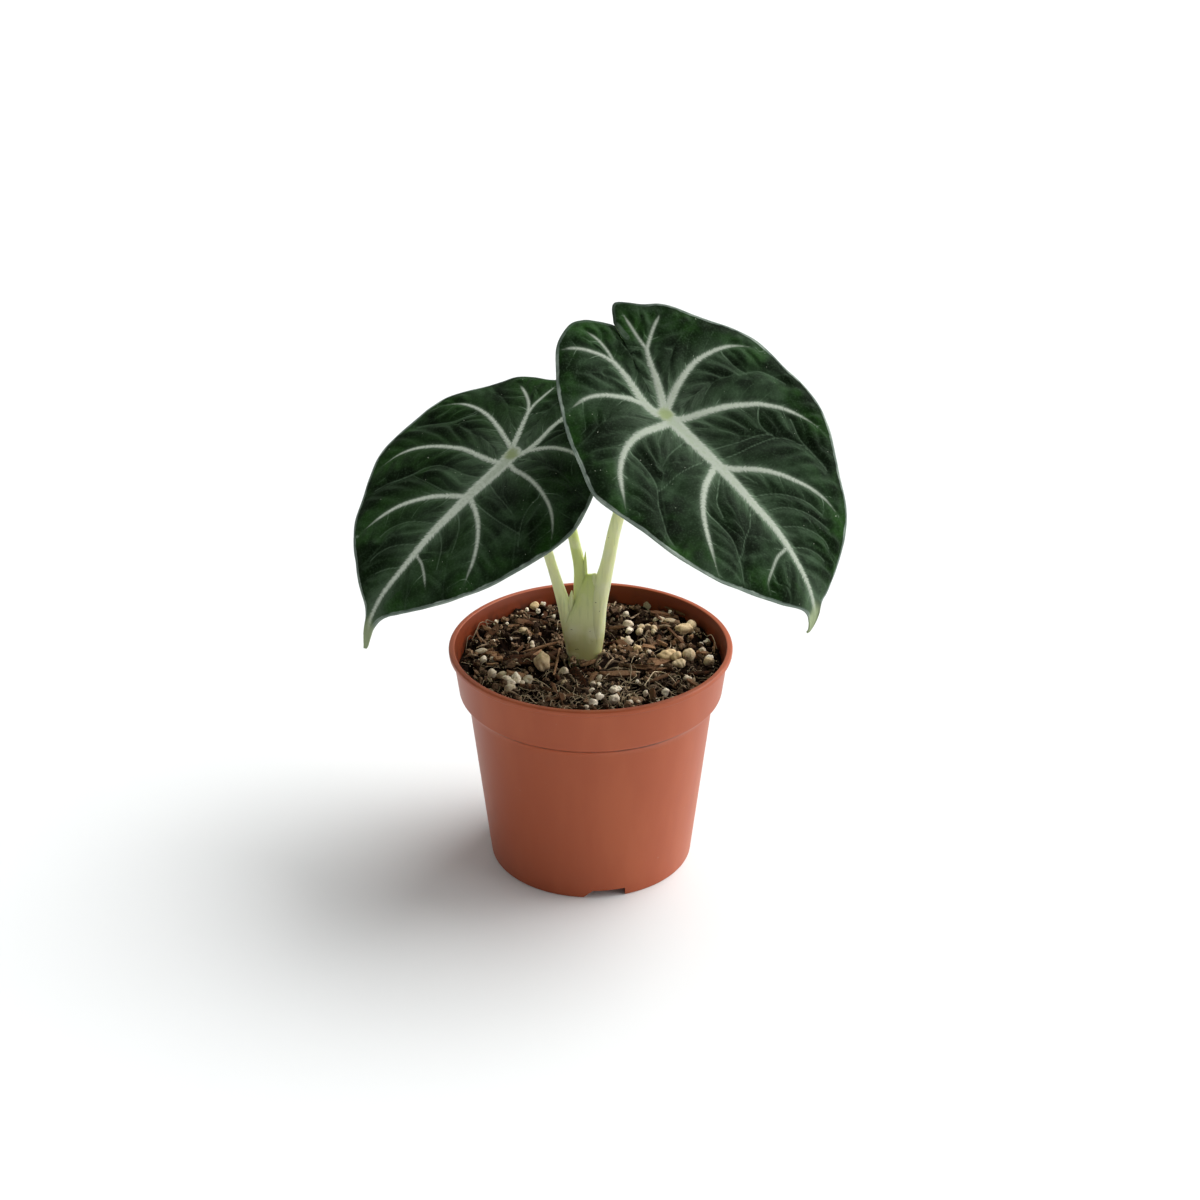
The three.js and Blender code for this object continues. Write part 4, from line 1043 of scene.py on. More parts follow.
pot = {
    "sides": 288,
    "footHeight": 4,
    "corner": 7,  # points in each rounded corner
    "notches": 3,
    "notchReach": (-47.3, -39.5),  # across the foot ring
    "notchWidth": 16.5,
    "notchSlant": 2.5,
    "notchAngle": -81.5,
    "drainHoles": 6,
    "drainRadius": 3.6,
    "drainCircle": 27,
    "drainSides": 40,
    "seam": 35,  # degrees from which an edge is shown sharp
    # outside, then over the lip and down the inside: radius, height, and how far the corner is rounded
    "profile": [
        (0, 4, 0), (41.9, 4, 0.5), (41.9, 0, 0.4), (43.9, 0, 0.6), (52.3, 76, 3), (55.9, 78.6, 0.9),
        (58.1, 96.1, 0.4), (59.8, 96.6, 0.5), (60, 98.9, 1.0), (57.5, 99, 0.5), (56.7, 95.8, 1),
        (54.6, 79, 1), (50.9, 75, 2), (43.5, 5.4, 2), (0, 5.4, 0),
    ],
}


# A profile's corners rounded off: each becomes the curve (1 - t)² a + 2t(1 - t) b + t² c, where b is the
# corner, and a and c lie the given distance from it towards the corners before and after it.
def roundedProfile(corners):
    corners = np.array(corners, float)
    middle, reach = corners[1:-1, :2], corners[1:-1, 2:]
    ends = []
    for other in (corners[:-2, :2], corners[2:, :2]):
        away = other - middle
        ends.append(middle + reach * away / np.linalg.norm(away, axis=1, keepdims=True))
    t = np.linspace(0, 1, pot["corner"])[:, None]
    before, here, after = ends[0][:, None], middle[:, None], ends[1][:, None]
    curves = (1 - t) ** 2 * before + 2 * t * (1 - t) * here + t**2 * after
    return curves.reshape(-1, 2)


# The slanted notches of the foot ring and the drain holes, as one mesh to cut with: four-sided tubes with
# a notch's outline in x and z, turned about the pot's axis, and upright drums.
def potCutters():
    parts = []
    foot, half, slant = pot["footHeight"], pot["notchWidth"] / 2, pot["notchSlant"]
    outline = [(-half - slant, -1), (half, -1), (half, foot - 0.3), (-half + slant, foot - 0.3)]
    for turn in np.radians(pot["notchAngle"] + 90 + np.arange(pot["notches"]) * 360 / pot["notches"]):
        x, z = np.tile(np.transpose(outline)[:, None], (1, 2, 1))
        y = np.array(pot["notchReach"])[:, None]
        turned = (x * np.cos(turn) - y * np.sin(turn), x * np.sin(turn) + y * np.cos(turn), z)
        parts.append(np.stack(turned, -1))
    for turn in np.radians((np.arange(pot["drainHoles"]) + 0.5) * 360 / pot["drainHoles"]):
        drum = ringOf(pot["drainRadius"], np.array([[1.0], [8.0]]), around(pot["drainSides"]))
        parts.append(drum + pot["drainCircle"] * np.array([np.cos(turn), np.sin(turn), 0]))
    cutters = makePiece("pot cutters", *tubes(*parts))
    work = bmesh.new()
    work.from_mesh(cutters.data)
    bmesh.ops.recalc_face_normals(work, faces=work.faces)
    work.to_mesh(cutters.data)
    work.free()
    return cutters


# The pot's profile turned about its axis, x = r cos a and y = r sin a, less its cutters.
def makePot():
    radius, height = roundedProfile(pot["profile"]).T[..., None]
    piece = makePiece("nurseryPot", *tubes(ringOf(radius, height, around(pot["sides"]))))
    cutters = potCutters()
    cut = piece.modifiers.new("cut", "BOOLEAN")
    cut.operation = "DIFFERENCE"
    cut.solver = "EXACT"
    cut.object = cutters
    shown = piece.evaluated_get(bpy.context.evaluated_depsgraph_get())
    mesh = bpy.data.meshes.new_from_object(shown)
    piece.modifiers.clear()
    piece.data = mesh
    bpy.data.objects.remove(cutters)
    mesh.shade_smooth()
    mesh.set_sharp_from_angle(angle=np.radians(pot["seam"]))
    return piece


potColours = {
    "base": "#a24f2e",
    "light": "#ae5b37",
    # inner wall and lip: damp, soiled plastic, darkened further as painted shade
    "inside": "#7b3418",
    "soil": "#3a2114",
    "dust": "#a8917c",
}


# Injection-moulded polypropylene: slightly waxy and translucent, a satin face with faint flow marks.
# Inside it is darker, partly soiled and damp from the mix and partly painted shade, and painted shade
# darkens the lip's top.
def potPlastic():
    material, tree, shader = startMaterial("moulded terracotta polypropylene", {
        "Roughness": 0.43,
        "IOR": 1.49,
        "Subsurface Weight": 0.06,
        "Subsurface Scale": 2 * mm,
        "Subsurface Radius": (1.0, 0.4, 0.25),
        "Specular IOR Level": 0.32,
    })
    place = addNode(tree, "TexCoord").outputs["Object"]
    height = addNode(tree, "SeparateXYZ", {}, {0: place}).outputs[2]
    drawn = addNode(tree, "Mapping", {}, {0: place, 3: (1 / (14 * mm), 1 / (14 * mm), 1 / (60 * mm))})
    flow = addNode(tree, "TexNoise", {}, {"Vector": drawn.outputs[0], "Scale": 1.0, "Detail": 4.0})
    fine, dust, stain = (
        addNode(tree, "TexNoise", {}, {"Vector": place, "Scale": 1 / (size * mm), "Detail": detail})
        for size, detail in ((0.8, 2.0), (2.2, 2.0), (6, 5.0))
    )
    # a wall faces in where its normal and the way out from the pot's axis point opposite ways
    out = addNode(tree, "VectorMath", {"operation": "SUBTRACT"}, {0: place, 1: tuple(potAxis)})
    normal = addNode(tree, "TexCoord").outputs["Normal"]
    facing = addNode(tree, "VectorMath", {"operation": "DOT_PRODUCT"}, {0: out.outputs[0], 1: normal})
    facing = facing.outputs["Value"]
    inside = (facing, -2 * mm, -15 * mm)
    colour = paint(tree, potColours["base"], [
        (potColours["light"], 0.5, (flow.outputs[0], 0.4, 0.7)),
        # painted shade: the lip's top and inner edge darkened towards the inside colour
        (potColours["inside"], 0.4, (facing, 25 * mm, -2 * mm), (height, 96.5 * mm, 98 * mm)),
        # the inner wall: its damp colour, partly painted shade
        (potColours["inside"], 1.0, inside),
        (potColours["soil"], 0.8, inside, (height, 98 * mm, 90 * mm), (stain.outputs[0], 0.42, 0.62)),
        (potColours["dust"], 0.4, (dust.outputs[0], 0.77, 0.8)),
    ])
    tree.links.new(colour, shader.inputs["Base Color"])
    bump = addNode(tree, "Bump", {}, {"Strength": 0.12, "Distance": 0.1 * mm, "Height": fine.outputs[0]})
    tree.links.new(bump.outputs[0], shader.inputs["Normal"])
    return material


fit(makePot(), potPlastic(), "pot_plastic", "pot")

# Potting mix: a bed of dark fibrous humus, with crumbs, bark, sticks, coir, perlite and granules on it.

mixBed = {
    "level": 89.6,
    "swell": 2,
    "lump": 2.4,
    "crumb": 1.8,  # depth of the small hollows between crumbs
    "grit": 0.8,  # and of the finest ones
    "pit": 13,  # depth of the dark holes between lumps
    "holes": 0.09,  # noise above this is a hole
    "rise": 1.5,  # it lies this much higher at the back
    "mound": 1.3,  # it is heaped a little round the stalks
    "heap": 3,  # and more at the foot of the right one
    "reach": 55.6,
    "wall": 55.4,  # nothing that lies on it goes further out
    "rings": 150,
    "sides": 340,
    # radius and height from the floor up the inside of the pot, under the collar's step
    "skirt": [(42.6, 5.8), (50.2, 73), (50.4, 76), (53.9, 80), (55.2, 83)],
    "keepOff": (-2.7, 6.3, 7),  # centre and radius of what is kept free for the stalks
    "matter": ("dark fibrous humus", "#0a0301", "#2a170c", "#060200"),
    "grain": 1.2,
    "depth": 0.6,
    "toned": False,
}


# Noise whose peaks are the dark holes between lumps.
def pitNoise(x, y):
    return noise(x / 3.6 + 70, y / 3.6)


# Height of the mix: long swells and lumps, as in its solid, and then hollows in two sizes and holes.
def mixHeight(x, y, crumbs=True):
    height = mixBed["level"] + mixBed["swell"] * noise(x / 21, y / 21)
    height = height + mixBed["lump"] * noise(x / 5.5 + 40, y / 5.5)
    if crumbs:
        height = height + mixBed["crumb"] * noise(x / 2.1 + 11, y / 2.1)
        height = height + mixBed["grit"] * noise(x / 0.9, y / 0.9 + 5)
        height = height - mixBed["pit"] * np.clip(pitNoise(x, y) - mixBed["holes"], 0, 0.3)
    height = height + mixBed["rise"] * smooth(5, 45, y)
    height = height + mixBed["heap"] * np.exp(-((x - 6.5) ** 2 + (y - 0.5) ** 2) / 14)
    return height + mixBed["mound"] * np.exp(-((np.hypot(x + 2.7, y - 4) / 11) ** 4))


# Rings of radius R s^0.75 at the height of the mix, above a skirt of rings inside the pot's wall.
def makeBed():
    radius = np.linspace(0.2, 1, mixBed["rings"])[:, None] ** 0.75 * mixBed["reach"]
    angle = around(mixBed["sides"])
    top = ringOf(radius, mixHeight(radius * np.cos(angle), radius * np.sin(angle)), angle)
    skirt = ringOf(*np.transpose(mixBed["skirt"])[..., None], angle)
    return makePiece("mixBed", *tubes(np.concatenate([skirt, top[::-1]])))


# A unit ball to shape grains and chips from. Detail 0 is for crumbs: 36 faces, as there are thousands.
def ball(detail):
    work = bmesh.new()
    if detail:
        bmesh.ops.create_icosphere(work, subdivisions=detail, radius=1)
    else:
        bmesh.ops.create_uvsphere(work, u_segments=6, v_segments=4, radius=1)
        bmesh.ops.triangulate(work, faces=work.faces)
    points = np.array([p.co for p in work.verts])
    faces = np.array([[p.index for p in face.verts] for face in work.faces])
    work.free()
    return points, faces


# Frames of three axes as matrices: x points along the heading, tipped up by rise, and the frame is then
# rolled about x by roll. All are arrays of angles.
def framesOf(heading, rise, roll):
    zero = np.zeros_like(heading)
    along = np.stack([np.cos(heading) * np.cos(rise), np.sin(heading) * np.cos(rise), np.sin(rise)], -1)
    level = np.stack([-np.sin(heading), np.cos(heading), zero], -1)
    upright = np.cross(along, level)
    c, s = np.cos(roll)[:, None], np.sin(roll)[:, None]
    return np.stack([along, level * c + upright * s, upright * c - level * s], -1)


# Frames at random headings, with rise and roll that spread by so many radians.
def loose(draw, count, rise, roll):
    heading = draw.uniform(0, 2 * np.pi, count)
    return framesOf(heading, draw.normal(0, rise, count), draw.normal(0, roll, count))


# Many lumps as one mesh. Each is the unit ball, made boxy by raising its coordinates to a power,
# bulged by a few random cosine waves, stretched to its size, turned by its frame and put in its place.
def makeLumps(name, kind, draw, places, sizes, frames, tones=None):
    unit, faces = ball(kind["detail"])
    count = len(places)
    shape = np.sign(unit) * np.abs(unit) ** kind["boxy"]
    directions = draw.normal(0, kind["wavy"], (count, 5, 3))
    phases = draw.uniform(0, 2 * np.pi, (count, 5, 1))
    waves = np.cos(directions @ unit.T + phases).mean(1)
    points = shape[None] * (1 + kind["bulge"] * 2 * waves[..., None]) * sizes[:, None]
    points = np.einsum("nij,nmj->nmi", frames, points) + places[:, None]
    out = np.linalg.norm(points[..., :2], axis=-1, keepdims=True) / mixBed["wall"]
    points[..., :2] /= np.maximum(out, 1)
    triangles = faces[None] + (np.arange(count) * len(unit))[:, None, None]
    tones = draw.uniform(0, 1, count) if tones is None else tones
    piece = makePiece(name, points, (), triangles, {"tone": np.repeat(tones, len(unit))})
    if kind.get("facets"):
        piece.data.shade_flat()
    return piece


# Places on the mix, spread evenly over its disc and kept off the stalks; holes stay nearly empty.
def scatter(draw, kind, crumbs=False):
    count = kind["count"]
    radius = kind["reach"] * np.sqrt(draw.uniform(0, 1, count * 3))
    angle = draw.uniform(0, 2 * np.pi, count * 3)
    x, y = radius * np.cos(angle), radius * np.sin(angle)
    middleX, middleY, clear = mixBed["keepOff"]
    free = np.hypot((x - middleX) / 1.15, y - middleY) > clear
    free &= (pitNoise(x, y) < mixBed["holes"] + 0.03) | (draw.uniform(0, 1, len(x)) < 0.12)
    x, y = x[free][:count], y[free][:count]
    return np.stack([x, y, mixHeight(x, y, crumbs)], -1)


# Places above the mix for rows that start with x and y.
def onMix(rows, above):
    x, y = rows[:, 0], rows[:, 1]
    return np.stack([x, y, mixHeight(x, y, False) + above], -1)


# Middles, headings and lengths of what is given by both ends as x, y, x, y.
def betweenEnds(rows):
    span = rows[:, 2:4] - rows[:, :2]
    middle = (rows[:, 2:4] + rows[:, :2]) / 2
    return middle, np.arctan2(span[:, 1], span[:, 0]), np.linalg.norm(span, axis=1)


# Tones from 0 to 1, mostly dark, and lighter in some parts of the mix than in others.
def tonesAt(draw, places, power):
    patch = 0.2 + 1.6 * np.clip(noise(places[:, 0] / 8 + 3, places[:, 1] / 8) + 0.5, 0, 1)
    return np.clip(draw.uniform(0, 1, len(places)) ** power * patch, 0, 1)


# One kind of matter in the mix: two colours between which each lump has its own tone, a third in
# patches, and a rough dry surface. Grain sizes and depths are in millimetres.
def mixMatter(kind):
    name, low, high, patch = kind["matter"]
    material, tree, shader = startMaterial(name, {
        "Roughness": kind.get("roughness", 0.92),
        "IOR": 1.45,
        "Specular IOR Level": 0.08,
    })
    place = addNode(tree, "TexCoord").outputs["Object"]
    noises = (
        addNode(tree, "TexNoise", {}, {"Vector": place, "Scale": 1 / (size * mm), "Detail": detail})
        for size, detail in ((kind["grain"], 4.0), (5 * kind["grain"], 3.0))
    )
    grain, broad = (pattern.outputs[0] for pattern in noises)
    tone = (grain, 0.35, 0.7)
    if kind.get("toned", True):
        tone = (addNode(tree, "Attribute", {"attribute_name": "tone"}).outputs["Fac"],)
    share = kind.get("patchShare", 0.5)
    colour = paint(tree, low, [
        (high, 1.0, tone),
        (patch, share, (grain, 0.45, 0.65)),
        (patch, share * 0.6, (broad, 0.5, 0.7)),
    ])
    tree.links.new(colour, shader.inputs["Base Color"])
    relief = {"Strength": 0.7, "Distance": kind.get("depth", 0.3) * mm, "Height": grain}
    bump = addNode(tree, "Bump", {}, relief)
    tree.links.new(bump.outputs[0], shader.inputs["Normal"])
    return material


# What lies on the mix. matter is the real stuff's name, its colours at tone 0 and 1, and the colour of
# its patches. Pairs go from the least to the most: sizes are half lengths of lumps, and lengths and
# widths are those of whole fibres.
humusCrumbs = {
    "matter": ("crumbled peat humus", "#100602", "#9f8066", "#28160c"),
    "grain": 0.7,
    "count": 1700,
    "reach": 54,
    "sizes": (0.5, 2),
    "sizePower": 1.7,
    "flatness": [(0.5, 1), (0.5, 0.9)],  # width and height as shares of the length
    "tilt": 0.7,
    "tonePower": 1.9,
    "detail": 0,
    "boxy": 1,
    "bulge": 0.4,
    "wavy": 3.2,
    "facets": True,
}

# finer and paler crumbs between those
fineCrumbs = {
    **humusCrumbs,
    "matter": ("fine peat crumbs", "#1e1109", "#e8ceac", "#4b3222"),
    "count": 2400,
    "sizes": (0.25, 0.75),
}


# Lumps of size least + (most - least) w^power, w being spread evenly, so that small ones are common.
def makeCrumbs(name, kind, draw):
    count = kind["count"]
    places = scatter(draw, kind, crumbs=True)
    least, most = kind["sizes"]
    long = least + (most - least) * draw.uniform(0, 1, count) ** kind["sizePower"]
    flat = [np.ones(count), *(draw.uniform(*reach, count) for reach in kind["flatness"])]
    size = long[:, None] * np.stack(flat, -1)
    places[:, 2] += 0.45 * size[:, 2]
    frames = loose(draw, count, kind["tilt"], kind["tilt"])
    return makeLumps(name, kind, draw, places, size, frames, tonesAt(draw, places, kind["tonePower"]))


barkChips = {
    "matter": ("dry pine bark", "#180b05", "#a37e60", "#59301a"),
    "grain": 0.9,
    "depth": 0.4,
    "count": 85,
    "reach": 51,
    "sizes": (1.8, 6),
    "slender": (0.15, 0.4),  # width as a share of the length
    "thick": (0.4, 0.9),
    "lift": (0.5, 1.4),
    "tilt": (0.3, 0.5),
    "tonePower": 1.2,
    "detail": 2,
    "boxy": 0.42,
    "bulge": 0.24,
    "wavy": 2,
    "facets": True,
}


# Boxy lumps, long and thin, lying about as they fell.
def makeChips(draw):
    count = barkChips["count"]
    places = scatter(draw, barkChips)
    long = draw.uniform(*barkChips["sizes"], count)
    wide = np.clip(long * draw.uniform(*barkChips["slender"], count), 0.5, 1.8)
    size = np.stack([long, wide, draw.uniform(*barkChips["thick"], count)], -1)
    places[:, 2] += draw.uniform(*barkChips["lift"], count)
    frames = loose(draw, count, *barkChips["tilt"])
    tones = tonesAt(draw, places, barkChips["tonePower"])
    return makeLumps("barkChips", barkChips, draw, places, size, frames, tones)


# larger strips and sticks of bark, where the photograph shows them: x and y of both ends, width,
# thickness, height above the mix, and tone
barkStrips = {
    "detail": 4,
    "boxy": 0.5,
    "bulge": 0.26,
    "wavy": 3,
    "rows": [
        (-13.3, 16.3, -30.3, 8.9, 3.2, 1.4, 1.2, 0.55), (-37.3, 1.5, -22.8, 2.5, 6, 2, 0.4, 0.05),
        (-22, 12, -33, 1, 2.4, 1.2, 0.8, 0.2), (-13.3, 10.1, -15.2, -14.1, 0.9, 0.8, 1.9, 0.75),
        (-43.5, -2.1, -39.2, -2.1, 1, 0.9, 1, 0.95), (33.2, 27.7, 39.3, 11.7, 1.1, 0.9, 2.2, 0.3),
        (54, 19, 52.6, 8, 0.8, 0.7, 1.2, 0.9), (24.1, -0.3, 30.8, -1.2, 2.8, 1.6, 1.2, 0.5),
        (27, 41, 38.5, 38.5, 2.6, 1.6, 1.5, 0.35), (26, 34, 39, 31.5, 1.6, 1.2, 1, 0.6),
        (14, -4, 26, -9, 4.5, 2, 0.8, 0.4), (6, -14, 19, -13, 3.4, 1.8, 1, 0.45),
        (-52, 30, -47, 12, 0.8, 0.7, 2.2, 0.45), (-14, 46, -4, 43, 1.6, 1, 1, 0.5),
        (43, 40, 33, 45, 2, 1.2, 1.2, 0.4), (-30, 38, -20, 33, 2, 1.2, 0.6, 0.2),
        (-6, -30, -20, -34, 2.2, 1.2, 0.6, 0.3),
    ],
}


# Boxy lumps stretched between their two ends.
def makeStrips(draw):
    rows = np.array(barkStrips["rows"])
    middle, heading, long = betweenEnds(rows)
    count = len(rows)
    frames = framesOf(heading, draw.normal(0, 0.05, count), draw.normal(0, 0.3, count))
    size = np.stack([long, rows[:, 4], rows[:, 5]], -1) / 2
    places = onMix(middle, rows[:, 6])
    return makeLumps("barkStrips", barkStrips, draw, places, size, frames, rows[:, 7])


# perlite: the larger grains where the photograph shows them, as x, y and radius, and small ones anywhere
perlite = {
    "matter": ("expanded perlite", "#d8c6ae", "#fbefdc", "#a58f78"),
    "grain": 0.7,
    "roughness": 0.8,
    "count": 60,
    "reach": 53,
    "sizes": (0.3, 0.8),
    "shownSize": 1.15,  # the larger grains are built this much larger than their radius
    "shape": (0.75, 1.1),  # half axes as shares of the radius
    "tilt": 0.8,
    "detail": 3,
    "boxy": 1,
    "bulge": 0.22,
    "wavy": 3,
    "rows": [
        (-21.5, 50.3, 1), (-28.5, 45.3, 1), (-23.5, 43.4, 1), (-16.4, 38.4, 1), (-38.7, 35.7, 0.8),
        (-41.7, 33.7, 0.8), (-36.8, 30.8, 0.8), (-26.8, 21.4, 0.6), (-25.4, 15, 1.3), (-34.6, 20, 0.6),
        (-42.2, 15.2, 1.3), (-45.8, 2.1, 1.5), (-41.6, 3.2, 1.2), (-41.3, -12.8, 2.1), (-11.2, -10.8, 1.8),
        (-6.1, -11, 1), (1, -18.7, 1.3), (0.6, -24.2, 1), (1.1, -39.1, 1.7), (-1.3, -42.6, 1.3),
        (25.7, 51.5, 1.6), (35.3, 42.4, 1), (15.4, 43.2, 1.3), (16.2, 31.6, 2.1), (16.6, 25.4, 1.5),
        (16.2, 17.5, 1.9), (14.7, 12.1, 1), (14.6, 5.9, 0.6), (24.9, 6.8, 1.4), (50.5, 18.9, 0.8),
        (47.4, 14.5, 1), (49.3, 17.5, 0.8), (47.9, 6.7, 1.5), (50.1, -1.9, 1.9), (29.9, -3.5, 0.6),
        (3.9, -13.9, 1.3), (3.5, -19.8, 1), (19.3, -19.8, 1), (9.7, -27.4, 1.7), (11.4, -26.4, 1.2),
        (22.7, -28.3, 1.3), (40.6, -15.8, 1.5), (30.9, -27.9, 1.5), (3.7, -33.2, 1.7), (9.7, -33.4, 1.9),
        (27.5, -31.7, 0.8), (19.5, -34.9, 1), (16.2, -36.9, 1), (-34.5, -19.5, 1.8), (-31, -17.4, 1.9),
        (-30.6, -20.4, 1.6), (-35.8, -16.6, 1.4), (-33, -22.3, 1.5), (-28.6, -21.6, 1.2),
    ],
}


# Bulged balls of slightly uneven half axes, sunk a quarter of their radius.
def makePerlite(draw):
    rows = np.array(perlite["rows"])
    places = np.concatenate([onMix(rows, 0), scatter(draw, perlite)])
    small = draw.uniform(*perlite["sizes"], perlite["count"])
    radius = np.concatenate([perlite["shownSize"] * rows[:, 2], small])
    places[:, 2] += 0.75 * radius
    size = radius[:, None] * draw.uniform(*perlite["shape"], (len(radius), 3))
    frames = loose(draw, len(radius), perlite["tilt"], perlite["tilt"])
    return makeLumps("perlite", perlite, draw, places, size, frames)


# granules: x, y, half sizes along, across and up, heading in degrees, and tone from grey to amber
granules = {
    "matter": ("dry clay and pumice granules", "#b5ad9c", "#e3c497", "#a88c68"),
    "grain": 1.3,
    "patchShare": 0.6,
    "depth": 0.5,
    "detail": 4,
    "boxy": 1,
    "bulge": 0.13,
    "wavy": 2.9,
    "rows": [
        (-25.5, 49.1, 2.3, 1.9, 1.8, 0, 0.9), (-29.4, 27.7, 2.3, 1.6, 1.5, 0, 0.5),
        (-47, 8.9, 2.4, 1.8, 1.1, 10, 0.1), (-33.2, -25.5, 2.4, 2, 1.5, 30, 0.2),
        (-20.5, -7, 3.4, 3.1, 4.4, 20, 0.6), (-26.1, -17.2, 2.8, 2.2, 1.9, 60, 0.05),
        (-11.5, -18.5, 1.7, 1.4, 1, 0, 0.5), (20.2, 10, 1.9, 1.5, 1.5, 0, 0.95),
        (30, 35.5, 2.6, 2, 1.8, 15, 0.15), (34.6, 35, 2.7, 1.9, 1.5, -10, 0.25),
        (40.6, 25, 4.2, 2.5, 2.4, 24, 0.75), (43.6, 27.8, 2.7, 2.4, 2.4, 60, 0.6),
        (32.6, 3.6, 4.2, 2.6, 2.4, 10, 0.9), (36.6, 1.9, 2.8, 2.2, 2.1, 70, 0.8),
        (41.8, 2.2, 3.2, 2.7, 3, 80, 0.55), (37.7, -3, 3, 2.3, 1.9, 0, 0.55),
        (21.2, 25.2, 1.8, 1.5, 1.7, 60, 0.45), (22, 28.4, 1.7, 1.5, 1.7, 20, 0.45),
        (24.8, 29.4, 1.8, 1.5, 1.7, -30, 0.5), (27.4, 27.6, 1.7, 1.4, 1.7, -70, 0.45),
        (27.2, 24.3, 1.5, 1.3, 1.5, -110, 0.4), (50, -3, 2.4, 2, 2.2, 20, 0.5),
        (-37, -13, 2.2, 1.9, 1.7, 0, 0.35), (13, 20, 1.8, 1.4, 1.2, 0, 0.45),
    ],
}


# Bulged ellipsoids, each turned to its heading and rolled a little.
def makeGranules(draw):
    rows = np.array(granules["rows"])
    places = onMix(rows, 0.6 * rows[:, 4])
    count = len(rows)
    frames = framesOf(np.radians(rows[:, 5]), np.zeros(count), draw.normal(0, 0.2, count))
    return makeLumps("granules", granules, draw, places, rows[:, 2:5], frames, rows[:, 6])


# Many thin fibres as one mesh: each is a gently waving arc over the mix, drawn as a tube of four sides.
# The columns are x, y, heading, length, width, how high it arches, how much it curls, and tone.
def makeFibres(name, draw, columns):
    steps, sides = 12, 4
    x, y, heading, length, width, lift, curl, tone = np.array(columns)[..., None]
    count = len(x)
    t = np.linspace(0, 1, steps)
    bend = draw.normal(0, 1, (count, 1)) * (t - 0.5)
    bend = bend + draw.normal(0, 1, (count, 1)) * np.sin(2 * np.pi * t)
    way = heading + curl * bend
    step = length / (steps - 1)
    x = x + np.cumsum(np.cos(way) * step, 1) - np.cos(way[:, :1]) * step
    y = y + np.cumsum(np.sin(way) * step, 1) - np.sin(way[:, :1]) * step
    out = np.maximum(np.hypot(x, y) / 55, 1)  # turned back from the pot's wall
    x, y = x / out, y / out
    z = mixHeight(x, y, False) + 0.3 + lift * np.sin(np.pi * t) ** 2
    centre = np.stack([x, y, z], -1)
    along = np.gradient(centre, axis=1)
    along /= np.linalg.norm(along, axis=-1, keepdims=True)
    across = np.cross(along, [0, 0, 1.0])
    across /= np.linalg.norm(across, axis=-1, keepdims=True)
    upward = np.cross(across, along)
    angle = around(sides)[:, None]
    radius = width / 2 * (1 - 0.6 * np.abs(2 * t - 1) ** 3)
    ring = across[:, :, None] * np.cos(angle) + upward[:, :, None] * np.sin(angle)
    points = centre[:, :, None] + radius[..., None, None] * ring
    first = np.arange(count)[:, None, None] * steps * sides
    last = (steps - 1) * sides
    ends = [[0, 2, 1], [0, 3, 2], [last, last + 1, last + 2], [last, last + 2, last + 3]]
    quads = first + gridFaces(steps, sides, closed=True)
    values = {"tone": np.repeat(tone, steps * sides)}
    return makePiece(name, points, quads, first + np.array(ends), values)


# The columns of scattered fibres, from x to curl.
def fibreColumns(draw, kind, x, y):
    count = kind["count"]
    return [
        x,
        y,
        draw.uniform(0, 2 * np.pi, count),
        draw.uniform(*kind["lengths"], count),
        draw.uniform(*kind["widths"], count),
        draw.uniform(*kind["lift"], count) ** kind["liftPower"],
        draw.uniform(*kind["curl"], count),
    ]


# coir: long fibres where the photograph shows them, as x and y of both ends, tone, and how high they
# arch, and short ones
coir = {
    "matter": ("coir fibre", "#2b190f", "#e6cfae", "#553a28"),
    "grain": 0.9,
    "patchShare": 0.2,
    "count": 640,
    "anywhere": 400,  # of the short ones; the others lie in front of the line y = front
    "front": -8,
    "reach": 52,
    "lengths": (2.5, 11),
    "widths": (0.12, 0.32),
    "lift": (0.1, 1.6),
    "liftPower": 2,
    "curl": (0.1, 1),
    "shownWidth": 0.4,
    "shownCurl": 0.25,
    "rows": [
        (-28.3, -28.5, -17.7, -40, 0.95, 0.8), (31.5, -5.7, 21, -25.5, 1, 2.5),
        (18.4, -25.9, 12, -35, 0.9, 1), (14.3, 2.5, 16.8, -21.8, 0.35, 2),
        (-46.1, 37.4, -52.1, 12.5, 0.3, 3.5), (-53.5, 22.8, -53.7, 6.8, 0.2, 3),
        (-48.2, 40.3, -43.8, 22.6, 0.25, 3), (12, 0, 15, -24, 0.4, 1.5), (9, -14, 22, -22, 0.6, 1),
        (37, -8, 44, -24, 0.9, 1.5), (-48, -8, -38, -26, 0.7, 1), (30, 12, 42, 4, 0.5, 1),
        (-12, -24, 6, -44, 0.8, 1), (26, -4, 38, -22, 1, 2), (-14, -20, -6, -34, 0.9, 1.5),
        (54.5, 10, 51, 26, 0.9, 3), (22, -14, 36, -30, 0.9, 1.5), (-30, -16, -14, -26, 0.8, 1.5),
    ],
}


# The shown fibres and the short ones as columns, side by side.
def makeCoir(draw):
    rows = np.array(coir["rows"])
    heading, long = betweenEnds(rows)[1:]
    width, curl = np.full(len(rows), coir["shownWidth"]), np.full(len(rows), coir["shownCurl"])
    shown = [rows[:, 0], rows[:, 1], heading, long, width, rows[:, 5], curl, rows[:, 4]]
    x, y = scatter(draw, coir)[:, :2].T
    y[coir["anywhere"] :] = coir["front"] - 0.75 * np.abs(y[coir["anywhere"] :])
    short = fibreColumns(draw, coir, x, y)
    power = np.where(y < coir["front"], 0.9, 2.2)  # paler at the front
    short.append(draw.uniform(0, 1, coir["count"]) ** power)
    return makeFibres("coirFibres", draw, np.concatenate([shown, short], 1))


